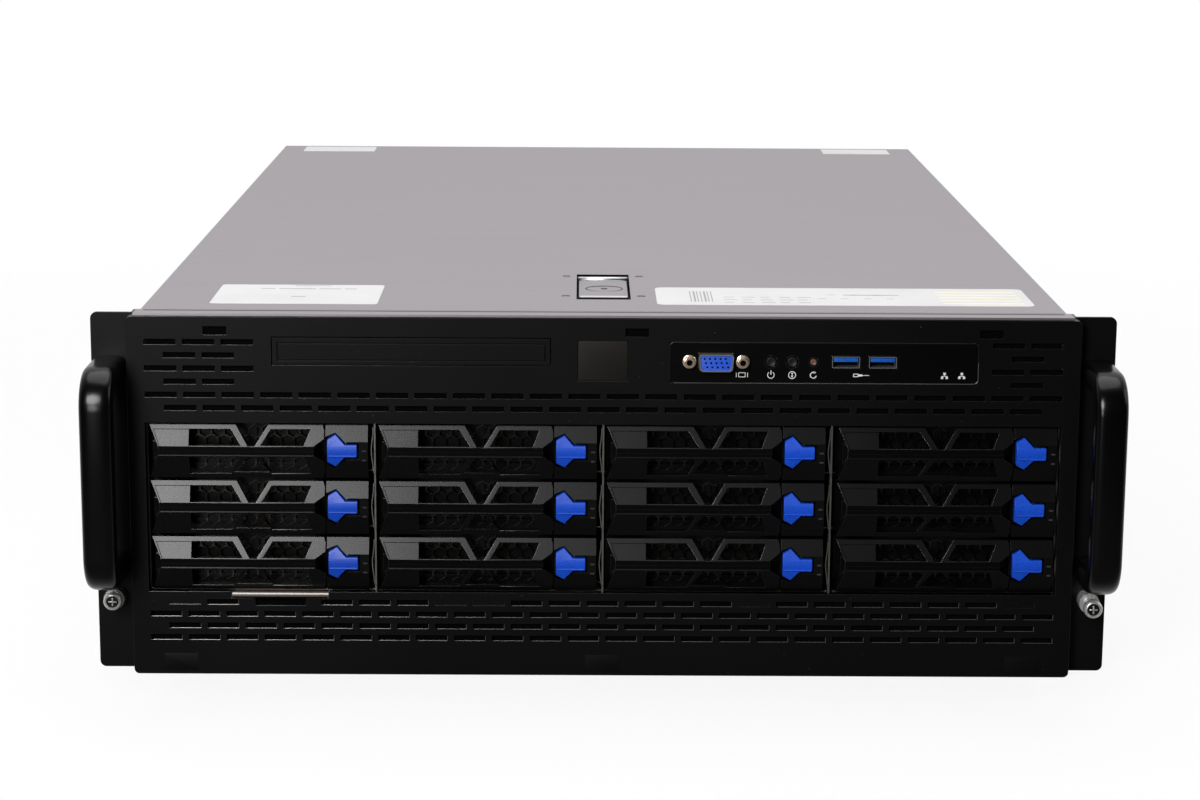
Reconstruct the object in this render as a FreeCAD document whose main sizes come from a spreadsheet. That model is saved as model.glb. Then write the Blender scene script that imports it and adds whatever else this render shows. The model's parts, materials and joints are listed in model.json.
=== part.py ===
import FreeCAD, Part
import Sketcher
import os
import re

# Rack server, four units high, with twelve drive carriers in four columns and three rows.
# X points right, Y from the front to the rear and Z up; all sizes are in millimetres.
# Lengths along Y are counted from the front face of the bezel.

COLUMNS = 4
ROWS = 3

SIZES = {
    # Bays: the carrier's cell sets the width and the height of the whole case.
    "cell_width": 107.85,
    "cell_height": 27.3,
    "bay_bottom": 40.9,
    "top_zone": 52.2,
    "column_shift": 1.4,
    # Case
    "case_side": 2.3,
    "case_depth": 677.0,
    "case_wall": 1.2,
    "cover_sheet": 1.0,
    "cover_flange": 14.0,
    "strip_depth": 12.0,
    "strip_seam": 0.6,
    "strip_nose": 0.3,
    "lip_height": 9.0,
    "collar_out": 2.2,
    "collar_depth": 18.0,
    "seat_gap": 0.3,
    "lap": 0.2,
    # Bezel
    "bezel_out": 5.7,
    "bezel_drop": 1.4,
    "bezel_depth": 6.0,
    "bezel_sheet": 1.6,
    "bezel_corner": 2.5,
    # Ventilation slots
    "slot_length": 15.0,
    "slot_height": 2.6,
    "slot_pitch": 18.07,
    "upper_slot_drop": 13.4,
    "upper_slot_step": 6.3,
    "lower_slot_high": 35.7,
    "lower_slot_step": 5.8,
    "slot_margin": 5.0,
    "blind_depth": 0.7,
    "key_width": 11.0,
    "key_height": 4.0,
    "key_drop": 8.0,
    "key_left": -182.0,
    "key_middle": 15.5,
    "key_right": 181.5,
    # Ears
    "ear_out": 17.6,
    "ear_low": 1.0,
    "ear_sheet": 2.0,
    "ear_setback": 8.2,
    "ear_flange": 9.0,
    "ear_corner": 3.0,
    # Bow handles on the ears
    "handle_reach": 37.0,
    "handle_low": 47.0,
    "handle_drop": 21.2,
    "handle_width": 15.5,
    "handle_thick": 11.5,
    "handle_chamfer": 3.4,
    "handle_bend": 13.0,
    "handle_inset": 8.4,
    # Captive thumbscrews
    "screw_inset": 8.75,
    "screw_high": 36.7,
    "screw_head": 4.5,
    "screw_grip": 8.0,
    "screw_shank": 2.4,
    "screw_reach": 22.0,
    "screw_clear": 0.1,
    "screw_lead": 5.0,
    "screw_pulled": 6.0,
    "sleeve_radius": 4.9,
    # Carrier front
    "carrier_left": 1.2,
    "carrier_width": 103.6,
    "carrier_low": 0.55,
    "carrier_height": 25.8,
    "ridge_front": 1.5,
    "ridge_back": 2.5,
    "band_half": 2.15,
    "ridge_rise": 0.8,
    "lever_length": 83.0,
    "lever_sheet": 2.2,
    "lever_seam": 0.5,
    "lever_border": 2.2,
    "lever_slant": 4.5,
    "window_start": 19.4,
    "window_end": 38.8,
    "window_rake": 5.0,
    "notch_start": 40.6,
    "notch_rake": 6.6,
    "notch_floor": 3.0,
    "notch_end": 57.2,
    "notch_bar": 3.0,
    "window_lap": 0.3,
    "second_start": 57.8,
    "second_rake": 4.6,
    "second_end": 76.4,
    "second_lean": 3.1,
    "corner_cut": 1.1,
    "corner_drop": 2.6,
    "grip_depth": 4.9,
    "grip_half": 5.6,
    "pivot_along": 4.0,
    "pivot_back": 4.6,
    "pivot_pin": 1.2,
    "pivot_clear": 0.05,
    "knuckle_half": 4.4,
    "lug_half": 1.4,
    "lug_sheet": 1.7,
    # Blue push latch
    "latch_start": 84.4,
    "latch_peak": 88.3,
    "latch_neck": 92.7,
    "latch_end": 98.4,
    "latch_root_half": 5.4,
    "latch_peak_half": 7.7,
    "latch_tail_half": 3.0,
    "latch_border": 0.8,
    "latch_depth": 3.2,
    "latch_stem": 5.8,
    "latch_travel": 2.2,
    "block_flat": 0.9,
    # Tray and drive
    "tray_front": 12.0,
    "tray_sheet": 1.6,
    "rail_sheet": 1.0,
    "rail_lift": 1.5,
    "rail_height": 20.5,
    "vent_half": 8.4,
    "drive_length": 147.0,
    "drive_height": 25.2,
    # Drive cage and backplane
    "cage_sheet": 1.0,
    "cage_front": 2.0,
    "plug_length": 4.0,
    "board_sheet": 1.6,
    # Front panel pieces
    "optical_left": -155.3,
    "optical_width": 130.1,
    "optical_height": 12.8,
    "optical_drop": 11.1,
    "badge_left": -12.5,
    "badge_width": 24.0,
    "badge_drop": 11.7,
    "badge_height": 19.5,
    "badge_depth": 0.5,
    "panel_left": 31.0,
    "panel_width": 144.3,
    "panel_drop": 12.7,
    "panel_height": 18.8,
    "panel_sheet": 2.4,
    "panel_corner": 2.0,
    "panel_gap": 0.35,
    "port_drop": 21.6,
    "display_along": 52.5,
    "display_width": 16.0,
    "display_height": 8.0,
    "jack_spread": 25.0,
    "jack_radius": 2.4,
    "socket_first": 113.4,
    "socket_spread": 17.3,
    "socket_width": 13.4,
    "socket_height": 5.8,
    "socket_wall": 0.5,
    "port_depth": 14.0,
    "button_first": 78.3,
    "button_spread": 9.95,
    "button_radius": 2.35,
    "reset_radius": 1.5,
    "button_length": 8.0,
    "button_gap": 0.3,
    # Pull-out information tag
    "tag_left": -176.3,
    "tag_width": 46.1,
    "tag_length": 75.0,
    "tag_sheet": 1.3,
    "tag_lip": 2.4,
    "tag_drop": 0.4,
    "tag_scoop": 24.0,
    "tag_scoop_drop": 3.6,
    # Flap latch in the cover
    "flap_front": 45.0,
    "flap_length": 75.0,
    "flap_width": 26.2,
    "flap_thick": 4.4,
    "flap_gap": 0.6,
    "flap_finger": 5.0,
    "flap_corner": 4.0,
    "flap_fall": 1.6,
    "flap_pin": 1.1,
    "flap_clear": 0.05,
    "pan_depth": 6.4,
    "pan_sheet": 0.8,
    # Fans
    "fan_space": 46.0,
    "fan_size": 120.0,
    "fan_depth": 38.0,
    "fan_bore": 57.5,
    "fan_spread": 136.0,
    "fan_lift": 4.0,
    "fan_hub": 20.0,
    "fan_base": 4.0,
    "fan_shaft": 2.0,
    "fan_clear": 0.08,
    "blade_tip": 55.5,
    "blade_rise": 20.0,
    "blade_chord": 22.0,
    "blade_sheet": 1.8,
    "blade_count": 5,
    # Mainboard
    "main_width": 305.0,
    "main_depth": 330.0,
    "main_left": -118.0,
    "main_lift": 7.5,
    "main_rear_gap": 6.0,
    "post_radius": 3.4,
    "post_inset": 10.0,
    "cooler_size": 84.0,
    "cooler_height": 92.0,
    "cooler_fin": 0.9,
    "cooler_pitch": 5.2,
    "module_height": 31.0,
    "module_length": 133.0,
    "module_sheet": 3.0,
    "module_pitch": 9.4,
    "shield_width": 158.0,
    "shield_height": 44.0,
    "slot_opening": 14.0,
    "slot_rise": 104.0,
    "card_pitch": 20.32,
    "card_first": 178.0,
    "card_lap": 2.2,
    "card_sheet": 0.9,
    "port_inset": 6.0,
    "port_length": 23.0,
    "port_height": 36.0,
    "cooler_first": 95.0,
    "cooler_spread": 130.0,
    "cooler_setback": 60.0,
    "cooler_base": 8.0,
    "module_clear": 8.0,
    # Openings in the rear and side walls
    "vent_length": 18.0,
    "vent_height": 6.0,
    "vent_along": 25.5,
    "vent_step": 17.0,
    "vent_rise": 20.0,
    "rail_hole": 2.1,
    "rail_hole_high": 87.5,
    "rail_hole_front": 200.0,
    "rail_hole_rear": 220.0,
    # Power supplies
    "supply_width": 73.5,
    "supply_height": 39.5,
    "supply_length": 185.0,
    "supply_left": -211.0,
    "supply_gap": 0.4,
    "grip_reach": 22.0,
    "grip_sheet": 4.0,
    "grip_height": 24.0,
}

doc = FreeCAD.newDocument("rack_server")
sheet = doc.addObject("Spreadsheet::Sheet", "Sizes")
for row, (alias, number) in enumerate(SIZES.items(), 1):
    sheet.set(f"A{row}", alias)
    sheet.set(f"B{row}", str(number))
    sheet.setAlias(f"B{row}", alias)
doc.recompute()

ALIASES = re.compile(r"\b(" + "|".join(sorted(SIZES, key=len, reverse=True)) + r")\b")

# Widths, heights and depths that follow from the sizes
BAY_WIDTH = f"({COLUMNS} * cell_width)"
BAY_TOP = f"(bay_bottom + {ROWS} * cell_height)"
CASE_WIDTH = f"({BAY_WIDTH} + 2 * case_side)"
CASE_HEIGHT = f"({BAY_TOP} + top_zone)"
BEZEL_WIDTH = f"({CASE_WIDTH} + 2 * bezel_out)"
BEZEL_TOP = f"({CASE_HEIGHT} - bezel_drop)"
EAR_SPAN = f"({BEZEL_WIDTH} + 2 * ear_out)"
EAR_TOP = f"({CASE_HEIGHT} - ear_low)"
COLLAR_WIDTH = f"({CASE_WIDTH} + 2 * collar_out)"
FRONT = "((handle_reach - case_depth - grip_reach) / 2)"
MIDDLE = "(carrier_low + carrier_height / 2 + ridge_rise)"
CARRIER_TOP = "(carrier_low + carrier_height)"
UPPER_CREASE = "(carrier_height / 2 - ridge_rise - band_half)"
LOWER_CREASE = "(carrier_height / 2 + ridge_rise - band_half)"
DRIVE_FRONT = "(tray_front + tray_sheet + 0.2)"
CAGE_END = f"({DRIVE_FRONT} + drive_length + plug_length + 0.2)"
FAN_FRONT = f"({CAGE_END} + fan_space)"
REAR_INSIDE = "(case_depth - case_wall)"
PORT_HIGH = f"({CASE_HEIGHT} - port_drop)"
MAIN_TOP = "(case_wall + main_lift + board_sheet)"


def bound(text):
    """The text with every size's name turned into a reference to its cell."""
    return ALIASES.sub(r"Sizes.\1", str(text))


def value(text):
    """The number that an expression over the sizes comes to."""
    return float(sheet.evalExpression(bound(text)))


def bind(thing, **texts):
    """Binds properties of a document object to expressions over the sizes."""
    for name, text in texts.items():
        thing.setExpression(name, bound(text))
    return thing


def place(thing, x=0, y=None, z=0):
    """Places an object; y is counted from the bezel's front face unless it is left out."""
    along = FRONT if y is None else f"{FRONT} + ({y})"
    for axis, text in zip("xyz", (x, along, z)):
        thing.setExpression(f"Placement.Base.{axis}", bound(text))
    return thing


def box(name, x, y, z, length, width, height):
    """A block with its least corner at (x, y, z)."""
    block = doc.addObject("Part::Box", name)
    bind(block, Length=length, Width=width, Height=height)
    return place(block, x, y, z)


def rod(name, x, y, z, radius, length, along="y"):
    """A round bar that starts at (x, y, z) and runs along Y, or along another axis."""
    turns = {"x": ((0, 1, 0), 90), "y": ((1, 0, 0), -90), "z": ((0, 0, 1), 0)}
    bar = doc.addObject("Part::Cylinder", name)
    axis, angle = turns[along]
    bar.Placement = FreeCAD.Placement(FreeCAD.Vector(), FreeCAD.Rotation(FreeCAD.Vector(*axis), angle))
    bind(bar, Radius=radius, Height=length)
    return place(bar, x, y, z)


def prism(name, x, y, z, radius, length, sides=6, turn=0.0):
    """A bar with flat sides that starts at (x, y, z) and runs along Y; the radius reaches its corners."""
    bar = doc.addObject("Part::Prism", name)
    bar.Polygon = sides
    lying = FreeCAD.Rotation(FreeCAD.Vector(1, 0, 0), -90)
    bar.Placement = FreeCAD.Placement(
        FreeCAD.Vector(), lying.multiply(FreeCAD.Rotation(FreeCAD.Vector(0, 0, 1), turn)))
    bind(bar, Circumradius=radius, Height=length)
    return place(bar, x, y, z)


def group(name, pieces):
    """Separate solids of one sub-part."""
    joined = doc.addObject("Part::Compound", name)
    joined.Links = pieces
    return joined


def fuse(name, pieces):
    """One solid from overlapping pieces."""
    joined = doc.addObject("Part::MultiFuse", name)
    joined.Shapes = pieces
    joined.Refine = True
    return joined


def cut(name, base, tools):
    """The base without the tools, which lie clear of each other."""
    opened = doc.addObject("Part::Cut", name)
    opened.Base = base
    opened.Tool = tools[0] if len(tools) == 1 else group(name + "_tools", tools)
    return opened


def mirrored(name, piece):
    """The piece's copy on the other side of the middle plane."""
    copy = doc.addObject("Part::Mirroring", name)
    copy.Source = piece
    copy.Normal = FreeCAD.Vector(1, 0, 0)
    return copy


def rounded(name, piece, radius, wanted):
    """The piece with the edges that the test picks rounded to a radius from the sheet."""
    doc.recompute()
    size = value(radius)
    picked = [i for i, edge in enumerate(piece.Shape.Edges, 1) if wanted(edge)]
    smooth = doc.addObject("Part::Fillet", name)
    smooth.Base = piece
    smooth.Edges = [(i, size, size) for i in picked]
    return smooth


def body(name, x=0, y=0, z=0):
    """A new body whose origin lies at (x, y, z)."""
    return place(doc.addObject("PartDesign::Body", name), x, y, z)


def sketch(owner, name, plane):
    """An empty sketch on one of the body's own origin planes."""
    drawing = owner.newObject("Sketcher::SketchObject", name)
    face = next(item for item in owner.Origin.OriginFeatures if item.Role == plane)
    drawing.AttachmentSupport = [(face, "")]
    drawing.MapMode = "FlatFace"
    return drawing


def outline(drawing, corners):
    """A closed outline through the corners, each held at bound distances from the origin."""
    spots = [(value(x), value(y)) for x, y in corners]
    count = len(spots)
    first = drawing.GeometryCount
    ends = [(FreeCAD.Vector(*spots[i], 0), FreeCAD.Vector(*spots[(i + 1) % count], 0)) for i in range(count)]
    drawing.addGeometry([Part.LineSegment(start, end) for start, end in ends], False)
    drawing.addConstraint([
        Sketcher.Constraint("Coincident", first + i, 2, first + (i + 1) % count, 1) for i in range(count)])
    for i, (corner, spot) in enumerate(zip(corners, spots)):
        for kind, text, number, axis in zip(("DistanceX", "DistanceY"), corner, spot, (-2, -1)):
            if abs(number) < 1e-9:
                drawing.addConstraint(Sketcher.Constraint("PointOnObject", first + i, 1, axis))
                continue
            held = drawing.addConstraint(Sketcher.Constraint(kind, -1, 1, first + i, 1, number))
            drawing.setExpression(f"Constraints[{held}]", bound(text))
    return drawing


def circle(drawing, x, y, radius):
    """A circle with a bound centre and radius."""
    spot = FreeCAD.Vector(value(x), value(y), 0)
    round_edge = drawing.addGeometry(Part.Circle(spot, FreeCAD.Vector(0, 0, 1), value(radius)), False)
    for kind, text, number, axis in (("DistanceX", x, spot.x, -2), ("DistanceY", y, spot.y, -1)):
        if abs(number) < 1e-9:
            drawing.addConstraint(Sketcher.Constraint("PointOnObject", round_edge, 3, axis))
            continue
        held = drawing.addConstraint(Sketcher.Constraint(kind, -1, 1, round_edge, 3, number))
        drawing.setExpression(f"Constraints[{held}]", bound(text))
    held = drawing.addConstraint(Sketcher.Constraint("Radius", round_edge, value(radius)))
    drawing.setExpression(f"Constraints[{held}]", bound(radius))
    return drawing


def pad(owner, name, drawing, length, back=False):
    """A pad of a sketch, along its normal or against it."""
    raised = owner.newObject("PartDesign::Pad", name)
    raised.Profile = drawing
    raised.Reversed = back
    owner.Tip = raised
    return bind(raised, Length=length)


def pocket(owner, name, drawing):
    """A pocket through everything on both sides of its sketch."""
    opened = owner.newObject("PartDesign::Pocket", name)
    opened.Profile = drawing
    opened.Type = "ThroughAll"
    opened.Midplane = True
    owner.Tip = opened
    return opened


def build_chassis():
    """Tray of folded sheet with a fixed front strip, rear wall openings and the supplies' housing."""
    top = f"({CASE_HEIGHT} - cover_sheet - seat_gap)"
    start = "bezel_depth + seat_gap"
    shell = cut("case_shell", box("case_block", f"-{CASE_WIDTH} / 2", start, 0,
                                  CASE_WIDTH, "case_depth - bezel_depth - seat_gap", top),
                [box("case_room", f"-{CASE_WIDTH} / 2 + case_wall", "-1", "case_wall",
                     f"{CASE_WIDTH} - 2 * case_wall", f"{REAR_INSIDE} + 1", CASE_HEIGHT)])
    pieces = [shell]
    pieces.append(box("front_strip", f"-{COLLAR_WIDTH} / 2", start, f"{top} - lap",
                      COLLAR_WIDTH, "strip_depth - bezel_depth - seat_gap", f"{CASE_HEIGHT} - {top} + lap"))
    pieces.append(box("strip_nose_sheet", f"-{COLLAR_WIDTH} / 2", "strip_nose", f"{BEZEL_TOP} + seat_gap",
                      COLLAR_WIDTH, f"{start} - strip_nose + lap", "bezel_drop - seat_gap"))
    pieces.append(box("strip_lip", f"-{CASE_WIDTH} / 2", start, f"{CASE_HEIGHT} - lip_height",
                      CASE_WIDTH, "case_wall", "lip_height"))
    for side, x in (("left", f"-{COLLAR_WIDTH} / 2"), ("right", f"{CASE_WIDTH} / 2 - lap")):
        pieces.append(box(f"collar_{side}", x, start, "ear_low", "collar_out + lap",
                          "collar_depth - bezel_depth - seat_gap", f"{top} - ear_low"))
    housing = f"{REAR_INSIDE} - supply_length + 10"
    wall_x = "supply_left + supply_width + supply_gap"
    level = "(case_wall + supply_height + 2 * supply_gap)"
    pieces.append(box("supply_wall", wall_x, housing, "case_wall - 0.2", "case_wall",
                      "supply_length - 9", f"2 * {level} + 4"))
    pieces.append(box("supply_shelf", f"-{CASE_WIDTH} / 2 + case_wall - 0.2", housing, level,
                      f"{wall_x} + {CASE_WIDTH} / 2", "supply_length - 9", "case_wall"))
    body_solid = fuse("case_sheet", pieces)
    through = ("case_depth - 5", "10")
    openings = [
        box("supplies_opening", "supply_left - supply_gap", through[0], "case_wall + 0.05",
            "supply_width + 2 * supply_gap", through[1], f"{level} - case_wall - 0.05"),
        box("supplies_opening_upper", "supply_left - supply_gap", through[0], f"{level} + case_wall",
            "supply_width + 2 * supply_gap", through[1], f"{level} - case_wall - 0.05"),
        box("shield_opening", "main_left + port_inset / 2", through[0], MAIN_TOP, "shield_width", through[1],
            "shield_height"),
    ]
    cards = [f"main_left + card_first + {k} * card_pitch" for k in range(7)]
    for k, x in enumerate(cards):
        openings.append(box(f"card_opening_{k}", x, through[0], f"{MAIN_TOP} + 4", "slot_opening", through[1],
                            "slot_rise"))
    for row in range(4):
        for k in range(6):
            openings.append(box(f"rear_vent_{row}_{k}", f"main_left + 5 + {k} * vent_along", through[0],
                                f"{MAIN_TOP} + shield_height + vent_rise + {row} * vent_step", "vent_length",
                                through[1], "vent_height"))
    for side, x in (("left", f"-{CASE_WIDTH} / 2 - 5"), ("right", f"{CASE_WIDTH} / 2 - 5")):
        for end, y in (("front", "rail_hole_front"), ("rear", "case_depth - rail_hole_rear")):
            openings.append(rod(f"rail_hole_{side}_{end}", x, y, "rail_hole_high", "rail_hole", "10", "x"))
    blanks = [box(f"card_blank_{k}", f"{x} - card_lap", f"{REAR_INSIDE} - card_sheet", f"{MAIN_TOP} + 1",
                  "slot_opening + 2 * card_lap", "card_sheet", "slot_rise + 6") for k, x in enumerate(cards)]
    return group("chassis_tray", [cut("case_opened", body_solid, openings)] + blanks)


def build_cover():
    """Cover sheet with turned-down flanges and the pan that its latch lies in."""
    underside = f"({CASE_HEIGHT} - cover_sheet)"
    begin = "(strip_depth + strip_seam)"
    inside = f"({CASE_WIDTH} / 2 - case_wall - 0.5)"
    pieces = [box("cover_plate", f"-{CASE_WIDTH} / 2", begin, underside, CASE_WIDTH,
                  f"case_depth - {begin}", "cover_sheet")]
    for side, x in (("left", f"-{inside}"), ("right", f"{inside} - cover_sheet")):
        pieces.append(box(f"cover_flange_{side}", x, "collar_depth + 4", f"{underside} - cover_flange",
                          "cover_sheet", "case_depth - collar_depth - 20", "cover_flange + 0.2"))
    pieces.append(box("cover_rear_fold", f"-{inside} + 8", f"{REAR_INSIDE} - 0.5 - cover_sheet",
                      f"{underside} - 8", f"2 * {inside} - 16", "cover_sheet", "8.2"))
    pan_x = "-(flap_width / 2 + pan_sheet)"
    pieces.append(box("pan_block", pan_x, "flap_front - pan_sheet", f"{CASE_HEIGHT} - pan_depth - pan_sheet",
                      "flap_width + 2 * pan_sheet", "flap_length + 2 * pan_sheet",
                      "pan_depth + pan_sheet - 0.2"))
    room = box("pan_room", "-flap_width / 2", "flap_front", f"{CASE_HEIGHT} - pan_depth",
               "flap_width", "flap_length", "pan_depth + 5")
    opened = cut("cover_opened", fuse("cover_folded", pieces), [room])
    pin = rod("flap_pin_bar", "-flap_width / 2 - 0.4", "flap_front + flap_gap + flap_thick / 2",
              f"{CASE_HEIGHT} - flap_gap / 2 - flap_thick / 2", "flap_pin", "flap_width + 0.8", "x")
    return fuse("top_cover", [opened, pin])


def build_flap():
    """Flap latch: a plate with a round front end on a cross pin, falling to a rear end with cut corners."""
    axis_y = "flap_thick / 2"
    length = "(flap_length - flap_gap - flap_finger)"
    width = "(flap_width - 2 * flap_gap)"
    origin_y = "flap_front + flap_gap"
    origin_z = f"{CASE_HEIGHT} - flap_gap / 2 - flap_thick"
    flap = body("flap_plate", f"-{width} / 2", origin_y, origin_z)
    side = outline(sketch(flap, "flap_side", "YZ_Plane"), [
        (axis_y, 0), (f"{length} - 2", 0), (length, "flap_thick * 0.45"),
        (length, "flap_thick - flap_fall"), (axis_y, "flap_thick")])
    pad(flap, "flap_length_pad", side, width)
    ends = sketch(flap, "flap_corners", "XY_Plane")
    rear, begin = f"{length} + 1", f"{length} - flap_corner - 1"
    for edge, inner in (("-1", "flap_corner + 1"), (f"{width} + 1", f"{width} - flap_corner - 1")):
        outline(ends, [(edge, begin), (inner, rear), (edge, rear)])
    pocket(flap, "flap_corners_cut", ends)
    end = circle(sketch(flap, "flap_end", "YZ_Plane"), axis_y, "flap_thick / 2", "flap_thick / 2")
    pad(flap, "flap_end_pad", end, width)
    bore = circle(sketch(flap, "flap_bore", "YZ_Plane"), axis_y, "flap_thick / 2", "flap_pin + flap_clear")
    pocket(flap, "flap_bore_pocket", bore)
    return flap


def slot_centres(spare):
    """Centres of a row of slots over the bays: the fullest row, or the row between its gaps."""
    pitch = value("slot_pitch")
    count = int((value(BAY_WIDTH) - value("slot_length")) / pitch) + 1 - spare
    return [f"({k} - {(count - 1) / 2}) * slot_pitch" for k in range(count)]


def slot(name, centre, middle, depth):
    """A slot-shaped cutter of the ventilation rows."""
    return box(name, f"{centre} - slot_length / 2", "-1", f"{middle} - slot_height / 2",
               "slot_length", f"{depth} + 1", "slot_height")


def build_bezel():
    """Front cap with the bay opening, the panel openings and rows of slots."""
    wall = "bezel_sheet"
    block = box("bezel_block", f"-{BEZEL_WIDTH} / 2", 0, 0, BEZEL_WIDTH, "bezel_depth", BEZEL_TOP)
    corners = rounded("bezel_rounded", block, "bezel_corner",
                      lambda edge: edge.Length < value("bezel_depth") + 0.1)
    tools = [box("bezel_room", f"-{BEZEL_WIDTH} / 2 + {wall}", wall, wall, f"{BEZEL_WIDTH} - 2 * {wall}",
                 "bezel_depth", f"{BEZEL_TOP} - 2 * {wall}")]
    hollow = cut("bezel_hollow", corners, tools)
    through = "bezel_depth"
    holes = [box("bay_opening", f"-{BAY_WIDTH} / 2", "-1", "bay_bottom - 0.1", BAY_WIDTH,
                 f"{through} + 1", f"{BAY_TOP} - bay_bottom + 0.2")]
    low = "(bay_bottom - 0.1 - tag_drop - tag_lip - 0.3)"
    holes.append(box("optical_opening", "optical_left - panel_gap", "-1",
                     f"{CASE_HEIGHT} - optical_drop - optical_height - panel_gap",
                     "optical_width + 2 * panel_gap", f"{through} + 1", "optical_height + 2 * panel_gap"))
    holes.append(box("panel_opening", "panel_left - panel_gap", "-1",
                     f"{CASE_HEIGHT} - panel_drop - panel_height - panel_gap",
                     "panel_width + 2 * panel_gap", f"{through} + 1", "panel_height + 2 * panel_gap"))
    holes.append(box("badge_place", "badge_left", "-1", f"{CASE_HEIGHT} - badge_drop - badge_height",
                     "badge_width", "badge_depth + 1", "badge_height"))
    for centre in ("key_left", "key_middle", "key_right"):
        holes.append(box(f"{centre}_hole", f"{centre} - key_width / 2", "-1",
                         f"{CASE_HEIGHT} - key_drop - key_height / 2", "key_width", f"{through} + 1",
                         "key_height"))
    tag_notch = box("tag_notch", "tag_left - 0.4", "-1", low, "tag_width + 0.8", f"{through} + 1",
                    f"bay_bottom - {low}")
    scoop = box("tag_scoop_cut", "tag_left + tag_width / 2 - tag_scoop / 2", "-1",
                f"{low} - tag_scoop_drop", "tag_scoop", f"{through} + 1", "tag_scoop_drop + 0.1")
    block_left = value("optical_left - slot_margin")
    block_right = value("panel_left + panel_width + slot_margin")
    half = value("slot_length") / 2
    for row in range(6):
        for k, centre in enumerate(slot_centres(row % 2)):
            x = value(centre)
            beside = x + half <= block_left or x - half >= block_right
            if row >= 4 or beside:
                holes.append(slot(f"upper_slot_{row}_{k}", centre,
                                  f"({CASE_HEIGHT} - upper_slot_drop - {row} * upper_slot_step)", through))
    scoop_left = value("tag_left + tag_width / 2 - tag_scoop / 2")
    scoop_right = value("tag_left + tag_width / 2 + tag_scoop / 2")
    for row in range(4):
        centres = slot_centres((row + 1) % 2)
        bosses = (0, 7, 8, len(centres) - 8, len(centres) - 1)
        for k, centre in enumerate(centres):
            x = value(centre)
            if row == 0 and scoop_left < x + half and x - half < scoop_right:
                continue
            depth = "blind_depth" if row == 0 and k in bosses else through
            holes.append(slot(f"lower_slot_{row}_{k}", centre,
                              f"(lower_slot_high - {row} * lower_slot_step)", depth))
    pierced = cut("bezel_pierced", hollow, holes)
    return cut("front_bezel", cut("bezel_tag_slot", pierced, [tag_notch]), [scoop])


def build_ears():
    """Two angle brackets, each with the fixed sleeve of its thumbscrew."""
    inner = f"({COLLAR_WIDTH} / 2)"
    plate = box("ear_plate", inner, "ear_setback", "ear_low", f"{EAR_SPAN} / 2 - {inner}",
                "ear_sheet", f"{EAR_TOP} - ear_low")
    outer = value(f"{EAR_SPAN} / 2") - 0.1
    smooth = rounded("ear_rounded", plate, "ear_corner", lambda edge: (
        edge.Length < value("ear_sheet") + 0.1 and edge.CenterOfMass.x > outer))
    flange = box("ear_flange_sheet", inner, "ear_setback", "ear_low", "ear_sheet", "ear_flange",
                 f"{EAR_TOP} - ear_low")
    axis_x = f"({EAR_SPAN} / 2 - screw_inset)"
    sleeve = rod("screw_sleeve", axis_x, "ear_setback - screw_grip", "screw_high", "sleeve_radius",
                 "screw_grip + 0.5")
    hole = rod("screw_hole", axis_x, "-20", "screw_high", "screw_shank + screw_clear", "60")
    right = cut("ear_right", fuse("ear_folded", [smooth, flange, sleeve]), [hole])
    return group("rack_ears", [mirrored("ear_left", right), right])


def build_handles():
    """Two bows, each a chamfered section swept along a path with two bends."""
    bow = body("bow_right", f"{EAR_SPAN} / 2 - handle_inset", "ear_setback", 0)
    half, wide, corner = "handle_thick / 2", "handle_width / 2", "handle_chamfer"
    low, high = f"(handle_low + {half})", f"({CASE_HEIGHT} - handle_drop - {half})"
    path = sketch(bow, "bow_path", "YZ_Plane")
    bend = value("handle_bend")
    y, z_low, z_high = value(f"{half} - handle_reach - ear_setback"), value(low), value(high)
    spots = [(0, z_low), (y + bend, z_low), (y, z_low + bend), (y, z_high - bend), (y + bend, z_high),
             (0, z_high)]
    vectors = [FreeCAD.Vector(*spot, 0) for spot in spots]
    lean = bend * (1 - 0.5 ** 0.5)
    lower_mid = FreeCAD.Vector(y + lean, z_low + lean, 0)
    upper_mid = FreeCAD.Vector(y + lean, z_high - lean, 0)
    path.addGeometry([
        Part.LineSegment(vectors[0], vectors[1]),
        Part.Arc(vectors[1], lower_mid, vectors[2]),
        Part.LineSegment(vectors[2], vectors[3]),
        Part.Arc(vectors[3], upper_mid, vectors[4]),
        Part.LineSegment(vectors[4], vectors[5])], False)
    right = [(wide, f"{low} - {half} + {corner}"), (wide, f"{low} + {half} - {corner}"),
             (f"{wide} - {corner}", f"{low} + {half}")]
    left = [(f"-({x})", z) for x, z in right[::-1]]
    foot = [(f"{corner} - {wide}", f"{low} - {half}"), (f"{wide} - {corner}", f"{low} - {half}")]
    section = outline(sketch(bow, "bow_section", "XZ_Plane"), right + left + foot)
    pipe = bow.newObject("PartDesign::AdditivePipe", "bow_pipe")
    pipe.Profile = section
    pipe.Spine = path
    bow.Tip = pipe
    return group("ear_handles", [mirrored("bow_left", bow), bow])


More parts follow.
